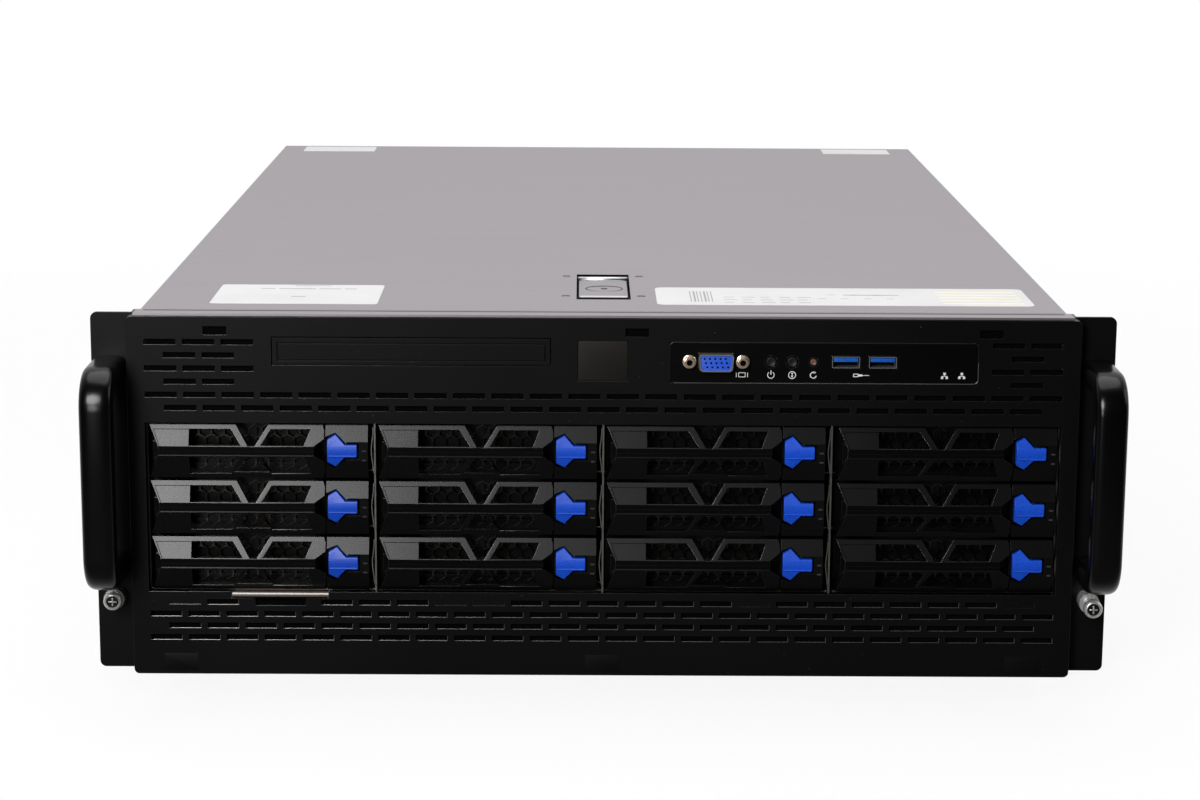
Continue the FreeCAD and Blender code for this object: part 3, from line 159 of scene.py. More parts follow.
def rounded(left, right, low, high, radius, steps=4):
    """A rectangle with a quarter circle at each corner."""
    turn = np.linspace(0, math.pi / 2, steps + 1)
    centres = ((right - radius, high - radius), (left + radius, high - radius),
               (left + radius, low + radius), (right - radius, low + radius))
    return np.concatenate([circle(*spot, radius, turn + k * math.pi / 2) for k, spot in enumerate(centres)])


def oblong(x, z, wide, tall, radius=0.0, steps=4):
    """A rectangle about a middle from its half sizes, with rounded corners if it has a radius."""
    sides = (x - wide, x + wide, z - tall, z + tall)
    return rounded(*sides, radius, steps) if radius else rectangle(*sides)


def disc(x, z, radius, steps=20, turn=0.0):
    """A regular polygon: points at even steps round a circle."""
    return circle(x, z, radius, np.linspace(0, 2 * math.pi, steps, endpoint=False) + turn)


def band(x, z, radius, width, start, end, steps=16):
    """Part of a ring between two angles in degrees: an outer arc and the inner arc back."""
    angle = np.radians(np.linspace(start, end, steps))
    arcs = [circle(x, z, radius + width / 2, angle), circle(x, z, radius - width / 2, angle[::-1])]
    return np.concatenate(arcs)


def tapered(outline, taper):
    """An outline that narrows towards its foot: its width grows with the share of the height."""
    middle, half = (outline.max(0) + outline.min(0)) / 2, (outline.max(0) - outline.min(0)) / 2
    share = (outline - middle) / half
    return middle + half * share * np.stack([1 + taper * share[:, 1], np.ones(len(outline))], -1)


def hexagon(x, z, radius, steps=24):
    """A hexagon with points along its sides: its inner radius over the cosine of the angle from a side's
    middle."""
    angle = np.linspace(0, 2 * math.pi, steps, endpoint=False)
    reach = radius * math.cos(math.pi / 6) / np.cos((angle % (math.pi / 3)) - math.pi / 6)
    return circle(x, z, reach, angle)


# Surfaces: points as a function of two parameters, with the faces that join them

def closed(points):
    """A grid of points joined round along its rows, with one flat face at each end."""
    rows, columns = points.shape[:2]
    ends = [np.arange(columns)[None, ::-1], np.arange(columns)[None] + (rows - 1) * columns]
    return points, [grid_faces(rows, columns, ring=True)] + ends


def lifted(flat, heights, axes):
    """Points of a plane at heights: two coordinates along the first two axes, the height along the third."""
    first, second, third = (AXES[k] for k in axes)
    return flat[..., :1] * first + flat[..., 1:] * second + heights * third


def spread(x, y, z):
    """Points from numbers or arrays of numbers for each axis, all stretched to one shape."""
    return np.stack(np.broadcast_arrays(x, y, z), -1).astype(float)


def stacked(outline, axes, levels):
    """Copies of an outline at (height, inset) levels, each drawn in towards its middle by the inset, and
    closed at both ends. The outline lies along the first two axes and the heights along the third."""
    outline = np.asarray(outline, float)
    middle = (outline.max(0) + outline.min(0)) / 2
    half = np.maximum((outline.max(0) - outline.min(0)) / 2, 1e-6)
    heights, insets = np.array(levels, float).T[:, :, None, None]
    return closed(lifted(middle + (outline - middle) * (1 - insets / half), heights, axes))


def plate(outline, axes, back, front, soft=0.0):
    """A flat outline with thickness; soft draws in the rim at the front along a quarter circle."""
    if not soft:
        return stacked(outline, axes, [(back, 0), (front, 0)])
    turn = np.linspace(0, math.pi / 2, 4)
    way = math.copysign(1, front - back)
    rim = np.stack([front - way * soft * (1 - np.sin(turn)), soft * (1 - np.cos(turn))], -1)
    return stacked(outline, axes, [(back, 0)] + [tuple(row) for row in rim])


def hoop(outer, inner, axes, back, front):
    """A frame between two outlines with the same number of points: four rings joined round into a tube."""
    heights = np.array([back, front, front, back], float)[:, None, None]
    points = lifted(np.stack([outer, outer, inner, inner]).astype(float), heights, axes)
    return points, [grid_faces(4, len(outer), ring=True, loop=True)]


def carried(outline, places, across, upward):
    """A closed outline carried along a path: each path point plus the outline's two coordinates along the
    two directions of that point's frame."""
    across, upward = (np.broadcast_to(way, places.shape)[:, None] for way in (across, upward))
    return closed(places[:, None] + outline[None, :, :1] * across + outline[None, :, 1:] * upward)


def piped(outline, radius, axes, level, steps=8):
    """A round bead along a closed outline: each point plus the radius times cosine along the outline's own
    normal and sine along the third axis."""
    along = np.roll(outline, -1, 0) - np.roll(outline, 1, 0)
    normal = np.stack([along[:, 1], -along[:, 0]], -1) / np.linalg.norm(along, axis=1)[:, None]
    angle = np.linspace(0, 2 * math.pi, steps, endpoint=False)[None, :, None]
    flat = outline[:, None] + radius * np.cos(angle) * normal[:, None]
    points = lifted(flat, level + radius * np.sin(angle), axes)
    return points, [grid_faces(len(outline), steps, ring=True, loop=True)]


def swelling(centre, radii, rises, steps=28, fall=0.0):
    """A shallow oval relief: rings at shares of the two radii, each lifted by its rise, closed below. It
    falls away along the second axis by a share of the distance."""
    shares, heights = np.array(rises, float).T[:, :, None, None]
    flat = shares * disc(0, 0, 1.0, steps) * radii
    return closed(lifted(flat, heights - fall * flat[..., 1:], "xyz") + centre)


def turned(profile, centre, axis, steps=28, wave=None):
    """A profile of (radius, distance) pairs turned about an axis: the radius times cosine and sine of the
    angle. A wave of the angle swells the radius by the profile's third number."""
    rows = np.array([(*row, 0.0)[:3] for row in profile], float)
    angle = np.linspace(0, 2 * math.pi, steps, endpoint=False)
    radius = rows[:, :1] + (0 if wave is None else rows[:, 2:] * wave(angle))
    axes = {"x": "yzx", "y": "xzy", "z": "xyz"}[axis]
    return closed(lifted(circle(0, 0, radius, angle), rows[:, 1, None, None], axes) + centre)


def pan_head(centre, axis, radius, way=1):
    """A screw head: a dome with a round recess, turned about an axis and standing out one way."""
    profile = ((1.0, -0.3), (1.0, 0.45), (0.88, 0.95), (0.55, 1.3), (0.34, 1.35), (0.3, 0.7), (0.03, 0.6))
    return turned([(share * radius, way * out) for share, out in profile], centre, axis, 18)


def repeated(surface, shifts):
    """A surface copied to every shift: its points plus each row of the shifts, and its faces counted on."""
    points, blocks = surface
    spots = np.asarray(points, float).reshape(-1, 3)
    shifts = np.asarray(shifts, float).reshape(-1, 3)
    count = (np.arange(len(shifts)) * len(spots))[:, None, None]
    return spots[None] + shifts[:, None], [np.concatenate(block + count) for block in blocks]


def honeycomb(left, right, low, high, pitch, hole, back, front):
    """A pierced sheet in the XZ plane: hexagon cells on a staggered grid, each a ring between the cell's own
    outline and its hole, with the hole's walls between front and back."""
    step = pitch * math.sqrt(3) / 2
    columns, rows = int((right - left) / pitch), int((high - low) / step)
    k, j = np.meshgrid(np.arange(columns), np.arange(rows))
    x = (left + right) / 2 + (k - (columns - 1) / 2 + 0.25 * (-1.0) ** j) * pitch
    z = (low + high) / 2 + (j - (rows - 1) / 2) * step
    cell, bore = disc(0, 0, pitch / math.sqrt(3), 6, math.pi / 6), disc(0, 0, hole / 2, 6, math.pi / 6)
    return repeated(hoop(cell, bore, "xzy", back, front), spread(x, 0, z))


# Materials

def joining(operation, swapped=False):
    """A method that joins a wire and another amount by a Math node, in either order."""
    def method(self, other):
        first, second = (other, self) if swapped else (self, other)
        return self.finish.node("ShaderNodeMath", {"operation": operation}, {0: first, 1: second})
    return method


class Wire:
    """A socket that Python's own operators join to others by Math nodes."""

    def __init__(self, finish, socket):
        self.finish, self.socket = finish, socket

    __add__, __radd__ = joining("ADD"), joining("ADD", True)
    __sub__, __rsub__ = joining("SUBTRACT"), joining("SUBTRACT", True)
    __mul__, __rmul__ = joining("MULTIPLY"), joining("MULTIPLY", True)


class Finish:
    """One material: its shader, its coordinates, and the nodes that vary it over a surface."""

    def __init__(self, name, color, rough, metal=0.0, specular=0.5, coat=0.0):
        self.material = bpy.data.materials.new(name)
        self.material.use_nodes = True
        self.tree = self.material.node_tree
        self.shader = self.tree.nodes["Principled BSDF"]
        self.color, self.roughness = (*color, 1.0), rough
        self.material.diffuse_color = self.color
        self.put("Base Color", self.color)
        self.put("Roughness", rough)
        self.put("Metallic", metal)
        self.put("Specular IOR Level", specular)
        self.put("Coat Weight", coat)
        self.place = self.node("ShaderNodeTexCoord", out="Object")

    def put(self, socket, amount):
        """Sets a socket of the shader to a number or colour, or joins a wire to it."""
        self.join(amount, self.shader.inputs[socket])

    def join(self, amount, socket):
        """Joins a wire to a socket, or sets the socket to a number or colour."""
        if isinstance(amount, Wire):
            self.tree.links.new(amount.socket, socket)
        else:
            socket.default_value = amount

    def node(self, kind, settings=None, inputs=None, out=0):
        """Any node: its type, its settings, which are set first, and the values or wires of its sockets."""
        made = self.tree.nodes.new(kind)
        for key, amount in (settings or {}).items():
            setattr(made, key, amount)
        for key, amount in (inputs or {}).items():
            self.join(amount, made.inputs[key])
        return Wire(self, made.outputs[out])

    def stretched(self, scale):
        """Coordinates stretched by a scale for each axis."""
        return self.node("ShaderNodeMapping", {}, {"Vector": self.place, "Scale": scale})

    def noise(self, scale, detail=2.0, where=None):
        """Soft noise with so many lumps in a metre."""
        inputs = {"Vector": where or self.place, "Scale": scale, "Detail": detail}
        return self.node("ShaderNodeTexNoise", {}, inputs)

    def cells(self, scale, out="Distance"):
        """Cells with so many in a metre."""
        return self.node("ShaderNodeTexVoronoi", {}, {"Vector": self.place, "Scale": scale}, out)

    def sharpen(self, wire, low, high):
        """The wire stretched so that low becomes 0 and high becomes 1."""
        inputs = {"Value": wire, "From Min": low, "From Max": high}
        return self.node("ShaderNodeMapRange", {"clamp": True}, inputs)

    def mix(self, share, first, second):
        """A colour between two others."""
        return self.node("ShaderNodeMix", {"data_type": "RGBA"}, {0: share, 6: first, 7: second}, 2)

    def tint(self, share, amount):
        """The colour so far, made lighter or darker by an amount where the share is full."""
        if isinstance(amount, float):
            amount = tuple(min(1.0, max(0.0, c * amount)) for c in self.material.diffuse_color[:3]) + (1.0,)
        self.color = self.mix(share, self.color, amount)
        self.put("Base Color", self.color)
        return self

    def rub(self, wire, amount):
        """Roughness that swings by an amount with a wire round its middle."""
        self.roughness = self.roughness + (wire - 0.5) * amount
        self.put("Roughness", self.roughness)
        return self

    def bump(self, height, distance, strength=1.0):
        """Relief of a wire's height, so many metres deep."""
        inputs = {"Height": height, "Distance": distance, "Strength": strength}
        self.put("Normal", self.node("ShaderNodeBump", {}, inputs))
        return self


def moulded(name, color, rough, grain=1500.0, depth=4e-5, dust=0.0, **constants):
    """Moulded plastic: fine grain in the relief, faint cloudy patches, and now and then a speck of dust."""
    made = Finish(name, color, rough, **constants)
    clouds, fine = made.noise(7.0, 4.0), made.noise(grain, 3.0)
    made.tint(made.sharpen(clouds, 0.35, 0.7), 1.5).tint(made.sharpen(fine, 0.45, 0.75), 0.6)
    if dust:
        specks = made.sharpen(made.cells(260.0), 0.05, 0.02) * made.sharpen(made.noise(40.0), 0.52, 0.6)
        made.tint(specks * dust, (0.35, 0.34, 0.32, 1.0))
    return made.rub(clouds, 0.18).rub(fine, 0.12).bump(fine, depth, 0.7)


def rolled_steel(name, color, rough, streak=(14.0, 900.0, 14.0), metal=0.9, depth=1.5e-5, **constants):
    """Sheet steel: rolling marks drawn out along one axis, cloudy patches and a fine tooth."""
    made = Finish(name, color, rough, metal, **constants)
    lines = made.noise(1.0, 4.0, made.stretched(streak))
    clouds, tooth = made.noise(5.0, 5.0), made.noise(2200.0, 2.0)
    made.tint(made.sharpen(clouds, 0.3, 0.75), 1.05).tint(made.sharpen(lines, 0.5, 0.8), 0.96)
    return made.rub(lines, 0.05).rub(clouds, 0.06).bump(tooth + lines * 0.6, depth, 0.6)


def zinc_steel(name, color, rough):
    """Zinc-plated steel: crystal spangles that differ a little in tone and gloss, and fine scratches."""
    made = Finish(name, color, rough, 1.0)
    spangle = made.cells(420.0, "Color")
    grey = made.node("ShaderNodeSeparateColor", {}, {0: spangle})
    scratch = made.noise(1.0, 5.0, made.stretched((40.0, 600.0, 2400.0)))
    made.tint(grey, 0.9).tint(made.sharpen(scratch, 0.55, 0.7), 1.1)
    return made.rub(grey, 0.06).rub(scratch, 0.06).bump(scratch, 4e-6, 0.3)


def circuit(name, color):
    """Circuit board: solder mask with darker fields, tracks along the edges of cells, and bright pads."""
    made = Finish(name, color, 0.38, coat=0.25)
    tracks = made.node("ShaderNodeTexVoronoi", {"feature": "DISTANCE_TO_EDGE"},
                       {"Vector": made.place, "Scale": 190.0, "Randomness": 0.7})
    fields, pads = made.noise(26.0, 3.0), made.cells(240.0)
    made.tint(made.sharpen(fields, 0.45, 0.55), 0.55).tint(made.sharpen(tracks, 0.06, 0.03), 1.7)
    made.tint(made.sharpen(pads, 0.1, 0.07), (0.55, 0.5, 0.36, 1.0))
    return made.rub(fields, 0.15).bump(made.sharpen(tracks, 0.08, 0.03), 3e-5, 0.6)


def paper(name, color):
    """Printed label stock: a soft white with fibres and faint rubbed patches."""
    made = Finish(name, color, 0.55, specular=0.35)
    fibres, clouds = made.noise(1800.0, 3.0), made.noise(30.0, 3.0)
    made.tint(made.sharpen(clouds, 0.4, 0.75), 0.93).tint(made.sharpen(fibres, 0.55, 0.8), 0.96)
    return made.rub(clouds, 0.2).bump(fibres, 1e-5, 0.5)


FINISHES = {}


def finish(name):
    """The material of that name, made at its first use from the colours in the sidebar."""
    if name not in FINISHES:
        tones = bpy.context.scene.server_tones
        black, grey, blue = tuple(tones.moulded_black), tuple(tones.cover_grey), tuple(tones.latch_blue)
        makers = {
            "case_steel": lambda: rolled_steel(name, grey, 0.42),
            "bezel_black": lambda: moulded(name, black, 0.4, dust=0.5, specular=0.155),
            "ear_black": lambda: moulded(name, black, 0.4, 1100.0, specular=0.17),
            "handle_black": lambda: moulded(name, black, 0.23, 2500.0, 4e-6, specular=0.25),
            "screw_steel": lambda: rolled_steel(name, (0.6, 0.6, 0.59), 0.27, (300.0, 300.0, 40.0), 0.65),
            "cage_steel": lambda: zinc_steel(name, (0.24, 0.23, 0.21), 0.36),
            "board_green": lambda: circuit(name, (0.012, 0.075, 0.03)),
            "panel_black": lambda: moulded(name, black, 0.45, 2000.0, 1.5e-5, specular=0.05),
            "port_metal": lambda: rolled_steel(name, (0.72, 0.7, 0.66), 0.24, (300.0, 40.0, 300.0), 0.9),
            "button_black": lambda: moulded(name, (0.006, 0.006, 0.0065), 0.4, 2200.0, specular=0.3),
            "reset_orange": lambda: moulded(name, tuple(tones.reset_orange), 0.42, 2200.0),
            "tag_grey": lambda: moulded(name, tuple(tones.tag_grey), 0.42, 1800.0),
            "fan_black": lambda: moulded(name, (0.016, 0.016, 0.017), 0.38, 1200.0),
            "supply_metal": lambda: zinc_steel(name, (0.5, 0.5, 0.49), 0.36),
            "tray_black": lambda: moulded(name, black, 0.29, 1700.0, 7e-6, specular=0.24),
            "lever_black": lambda: moulded(name, black, 0.29, 1700.0, 7e-6, specular=0.26),
            "moulded_rim": lambda: moulded(name, black, 0.24, 2000.0, 5e-6, specular=0.8),
            "latch_blue": lambda: moulded(name, blue, 0.36, 1700.0, 2e-5, specular=0.35),
            "panel_gloss": lambda: moulded(name, black, 0.22, 2000.0, 5e-6, specular=0.6),
            # Dark zinc steel for the carriers' mesh; in the thumbscrews' recesses it is painted shade
            "shield_metal": lambda: zinc_steel(name, (0.07, 0.06, 0.05), 0.22),
            # Near-black painted shade: flat discs and plates coloured to stand in for the shade inside
            # holes, slots and gaps
            "dark_recess": lambda: moulded(name, (0.0015, 0.0015, 0.0015), 0.8, specular=0.02),
            # Pale colour on the tag's top: a painted highlight
            "tag_lip": lambda: moulded(name, (0.8, 0.76, 0.72), 0.4, 1800.0),
            # Lighter metal for beads that paint highlights on lit edges of the bezel's slots and the control
            # panel's foot
            "cut_edge": lambda: rolled_steel(name, (0.19, 0.185, 0.175), 0.28, (900.0, 20.0, 20.0), 0.6),
            # Dark steel: the dark joint of the cover's seam, and painted shade round stamped and embossed
            # relief
            "stamped_shade": lambda: rolled_steel(name, (0.07, 0.064, 0.068), 0.5),
            "drive_metal": lambda: rolled_steel(name, (0.42, 0.42, 0.43), 0.4, (600.0, 20.0, 600.0)),
            "paper_white": lambda: paper(name, tuple(tones.paper_white)),
            "paper_cream": lambda: paper(name, (0.82, 0.79, 0.62)),
            "paper_rule": lambda: paper(name, (0.33, 0.33, 0.35)),
            "print_white": lambda: paper(name, (0.78, 0.78, 0.78)),
            "socket_blue": lambda: moulded(name, (0.02, 0.085, 0.55), 0.34, 1800.0),
            "tongue_blue": lambda: moulded(name, (0.004, 0.085, 0.4), 0.3, 1800.0),
            "jack_brass": lambda: rolled_steel(name, (0.82, 0.64, 0.48), 0.24, (300.0, 40.0, 300.0), 0.85),
            "badge_dark": lambda: rolled_steel(name, (0.012, 0.01, 0.008), 0.45, (900.0, 14.0, 14.0), 0.3,
                                               specular=0.2),
            "light_pipe": lambda: moulded(name, (0.03, 0.03, 0.032), 0.2, coat=0.4),
            "chip_black": lambda: moulded(name, (0.018, 0.018, 0.02), 0.45, 1400.0),
            # Bare aluminium for fins and coolers; on the flap's lip and bar behind it, it is a painted
            # highlight
            "fin_aluminium": lambda: rolled_steel(name, (0.68, 0.69, 0.7), 0.34, (20.0, 20.0, 900.0), 1.0),
            "contact_gold": lambda: rolled_steel(name, (0.75, 0.52, 0.2), 0.3, metal=1.0),
            "module_green": lambda: circuit(name, (0.01, 0.06, 0.045)),
            "latch_green": lambda: moulded(name, (0.02, 0.2, 0.06), 0.4, 1700.0),
        }
        FINISHES[name] = makers[name]()
    return FINISHES[name].material


# Pieces

def seat(name, shape, body, finishes, slot, replaces=(), smooth=35.0):
    """Puts a shell or a finished mesh into the scene as a piece that moves with a body."""
    data = shape.mesh(name) if isinstance(shape, Shell) else shape
    for key in finishes:
        data.materials.append(finish(key))
    data.shade_smooth()
    data.set_sharp_from_angle(angle=math.radians(smooth))
    piece = bpy.data.objects.new(name, data)
    bpy.context.scene.collection.objects.link(piece)
    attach(piece, body)
    if replaces:
        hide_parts(*replaces)
    return piece


def round_edges(piece, width, rim, steps=2, angle=30.0):
    """A live rounding on every edge that is sharper than an angle. The rim's number picks its own finish."""
    bevel = piece.modifiers.new("rounded_edges", "BEVEL")
    bevel.width = width * MM
    bevel.segments = steps
    bevel.limit_method = "ANGLE"
    bevel.angle_limit = math.radians(angle)
    bevel.harden_normals = True
    bevel.loop_slide = False
    bevel.material = rim
    return piece


def softened(node, body, width, finishes, slot, pick=None, rim=-1, flat=True, crease=35.0):
    """A copy of a solid's mesh with a rounding on its edges, and with its triangles joined into flat faces
    if flat is set. Faces get the finish whose number pick gives for their middles, in millimetres."""
    data = frame["nodes"][node].data.copy()
    work = bmesh.new()
    work.from_mesh(data)
    bmesh.ops.remove_doubles(work, verts=work.verts, dist=2e-6)
    if flat:
        bmesh.ops.dissolve_limit(work, angle_limit=math.radians(1.0), verts=work.verts, edges=work.edges)
    work.to_mesh(data)
    work.free()
    if "custom_normal" in data.attributes:
        data.attributes.remove(data.attributes["custom_normal"])
    data.materials.clear()
    numbers = np.zeros(len(data.polygons), np.int32)
    if pick:
        middles = np.zeros(len(data.polygons) * 3, np.float32)
        data.polygons.foreach_get("center", middles)
        numbers = pick(middles.reshape(-1, 3) / MM).astype(np.int32)
    data.polygons.foreach_set("material_index", numbers)
    return round_edges(seat(f"{node}_soft", data, body, finishes, slot, (node,), crease), width, rim)


def body_of(node):
    """The body that carries a solid."""
    return frame["nodes"][node]["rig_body"]


def carriers():
    """Every carrier's two-digit place, with its lowest corner, at the level of its band, and its highest."""
    for c in range(COLUMNS):
        for r in range(ROWS):
            place = f"{c + 1}{r + 1}"
            low, high = span(f"drive_tray_{place}")
            low[1] = span(f"drive_lever_{place}")[0][1]
            yield place, low, high


SLOTS = {row["node"]: row["material_slot"] for row in frame["record"]["subparts"]}

# Solids that keep their shape and get rounded edges: the rounding in millimetres
SOFT_SOLIDS = {
    "chassis_tray": 0.3, "top_cover": 0.35, "cover_latch": 0.6, "front_bezel": 0.35, "rack_ears": 0.35,
    "drive_cage": 0.18, "control_panel": 0.3, "optical_bay_cover": 0.22, "info_tag": 0.25,
    "power_supply_1": 0.6, "power_supply_2": 0.6, "fan_frames": 0.5, "fan_rotor_1": 0.3,
    "fan_rotor_2": 0.3, "fan_rotor_3": 0.3, "mainboard": 0.12, "drive_backplane": 0.15,
}

# The carrier's ridged face: how far below its top the slopes meet the band, how far its edges lie behind the
# band, and how far the flat beside its latch does
UPPER_CREASE, LOWER_CREASE, RIDGE, FLAT = 9.95, 14.25, 4.0, 0.9
# Angle in degrees over which a carrier's edges stay sharp
CARRIER_CREASE = 19.0
# How far the shield and the drive stand behind the band, and the drive's top above the tray's foot
SHIELD, DRIVE_FRONT, DRIVE_TOP = 12.9, 15.6, 25.5


def ridge(low, high, below):
    """Front face of a carrier at a distance below its top edge: the band's own level, and behind it on the
    slopes by the share of the slope that is left."""
    height = high[2] - low[2]
    nearest = np.minimum(below / UPPER_CREASE, (height - below) / (height - LOWER_CREASE))
    return low[1] + RIDGE * np.clip(1 - nearest, 0, 1)


def draped(outline, low, high, proud=0.1, sunk=0.4, flat=0.0):
    """A thin piece laid on a carrier's face: its outline, in distances from the top left corner, once behind
    the face and once in front of it. A flat keeps it that far behind the band."""
    spots = np.asarray(outline, float)
    face = np.maximum(ridge(low, high, spots[:, 1]), low[1] + flat)
    depths = face + np.array([[sunk], [-proud]])
    return closed(spread(low[0] + spots[:, 0], depths, high[2] - spots[:, 1]))


def bead(start, end, profile, low, high):
    """A small moulding along a carrier: pairs of (distance behind the band, distance below the top) drawn
    out from a start to an end."""
    rows = np.array(profile, float)
    ring = np.stack([low[1] + rows[:, 0], high[2] - rows[:, 1]], -1)
    return stacked(ring, "yzx", [(low[0] + start, 0), (low[0] + end, 0)])


# Mouldings across a carrier's face: a ledge under the band that faces up a little, and a faint bead on it
LEDGE = ((0.15, 13.8), (-0.28, 14.55), (-0.22, 14.7), (0.35, 15.15))
CORD = ((0.05, 12.15), (-0.1, 12.35), (0.05, 12.55))

# Front panel: middles of the serial sockets, the buttons and the display socket, and the jack screws' spread
SOCKETS, BUTTONS = (113.4, 130.7), (78.3, 88.25, 98.2)
DISPLAY, JACK_SPREAD = 52.5, 25.0
# Bezel: distance between slots in a row and between rows
SLOT_PITCH, SLOT_ROW = 18.07, 5.8
# Rear: distance between cards, height of the board's face over its posts, and reach of the supplies' grips
CARD_PITCH, BOARD_TOP, SUPPLY_GRIP = 20.32, 9.1, 21.0


def tone(name, description, default):
    """A colour in the sidebar."""
    return FloatVectorProperty(name=name, description=description, subtype="COLOR", size=3, min=0.0, max=1.0,
                               default=default)


def length(name, description, default, least=0.0, most=0.03):
    """A length in the sidebar, in metres."""
    return FloatProperty(name=name, description=description, unit="LENGTH", min=least, max=most,
                         default=default)


def degrees(name, description, default):
    """An angle in the sidebar, given in degrees."""
    return FloatProperty(name=name, description=description, subtype="ANGLE", default=math.radians(default))


class ServerTones(bpy.types.PropertyGroup):
    """Colours of the main finishes."""

    moulded_black: tone("Moulded black", "Bezel, ears, handles and carriers", (0.0012, 0.0012, 0.0012))
    cover_grey: tone("Cover grey", "Sheet of the case and its cover", (0.314, 0.288, 0.309))
    latch_blue: tone("Latch blue", "Push latches of the carriers", (0.004, 0.06, 0.5))
    reset_orange: tone("Reset button", "Small recessed button", (0.13, 0.06, 0.042))
    tag_grey: tone("Tag", "Pull-out information tag", (0.11, 0.076, 0.06))
    paper_white: tone("Labels", "Blank labels on the cover", (0.69, 0.685, 0.69))


class ServerDetails(bpy.types.PropertyGroup):
    """Sizes of the finer pieces."""

    carrier_edge: length("Carrier edge", "Rounding of the carriers' edges", 0.00028, most=0.001)
    mesh_pitch: length("Mesh pitch", "Distance between the cells of the carriers' mesh", 0.006, 0.003, 0.012)
    mesh_hole: length("Mesh hole", "Width of a cell's hole over its corners", 0.0059, 0.002, 0.011)
    label_sheet: length("Label thickness", "Thickness of the labels", 0.00008, most=0.001)
    handle_width: length("Handle width", "Width of a bow handle's bar", 0.0155, 0.004)
    handle_thick: length("Handle thickness", "Thickness of a bow handle's bar", 0.0115, 0.004)
    handle_bend: length("Handle bend", "Radius of a bow handle's bends", 0.013, 0.006)
    knurls: IntProperty(name="Knurls", description="Teeth round a thumbscrew's rim", min=8, max=90,
                        default=40)


class ServerStage(bpy.types.PropertyGroup):
    """Camera, lights and floor."""

    lens: FloatProperty(name="Lens", description="Focal length in millimetres", unit="CAMERA", min=10.0,
                        max=300.0, default=84.735)
    stand: FloatVectorProperty(name="Camera place", description="Where the camera stands", unit="LENGTH",
                               subtype="TRANSLATION", size=3, default=(-0.010916, -1.629545, 0.404796))
    pitch: degrees("Pitch", "How far the camera looks down", 11.744)
    yaw: degrees("Yaw", "How far the camera looks to the right", 0.404)
    roll: degrees("Roll", "How far the camera is turned about its axis", 0.376)
    key: FloatProperty(name="Key light", description="Power of the soft box", unit="POWER", default=27.0)
    floor: tone("Floor", "Colour of the floor", (0.9, 0.9, 0.9))


class SERVER_OT_solids(bpy.types.Operator):
    """Copies the solids whose shape stays, with rounded edges and their finishes"""

    bl_idname = "server.solids"
    bl_label = "Sheet and moulded solids"

    def execute(self, context):
        for node, width in SOFT_SOLIDS.items():
            extra, pick = self.picks.get(node, ([], None))
            rim = -1
            if node in ("front_bezel", "control_panel"):
                extra, rim = ["moulded_rim"], 1
            softened(node, body_of(node), width, [SLOTS[node]] + extra, SLOTS[node], pick, rim)
        return {"FINISHED"}

    @staticmethod
    def pan(middles):
        """Number 1 inside the latch's pan in the cover, where the sheet gets painted shade, and 0 elsewhere.
        """
        low, high = span("cover_latch")
        x, y, z = middles.T
        inside = (x > low[0] - 1.5) & (x < high[0] + 1.5) & (y > low[1] - 3) & (y < high[1] + 7)
        return inside & (z < high[2] - 0.2)

    @staticmethod
    def fittings(middles):
        """Numbers for what stands on the main board: fins 1, modules 2, the block of rear sockets 3."""
        low, high = span("mainboard")
        x, y, z = middles.T
        above = z > low[2] + BOARD_TOP + 0.1
        rear = above & (y > high[1] - 24)
        cooled = above & (y > low[1] + 59) & (y < low[1] + 145) & (np.abs(np.abs(x - 42) - 65) < 42.5)
        module = above & ~rear & ~cooled & (y > low[1] + 35) & (y < low[1] + 170)
        return np.select([cooled, module, rear], [1, 2, 3], 0)

    @staticmethod
    def plugs(middles):
        """Number 1 on the plugs in front of the drives' board, and 0 on the board."""
        return middles[:, 1] < span("drive_backplane")[1][1] - 1.7

    @staticmethod
    def sleeves(middles):
        """Number 1 on the fixed sleeves of the thumbscrews, which stand out in front of the ears."""
        return middles[:, 1] < span("rack_ears")[0][1] + 7.7

    picks = {"top_cover": (["dark_recess"], pan), "drive_backplane": (["chip_black"], plugs),
             "rack_ears": (["screw_steel"], sleeves),
             "mainboard": (["fin_aluminium", "module_green", "port_metal"], fittings)}


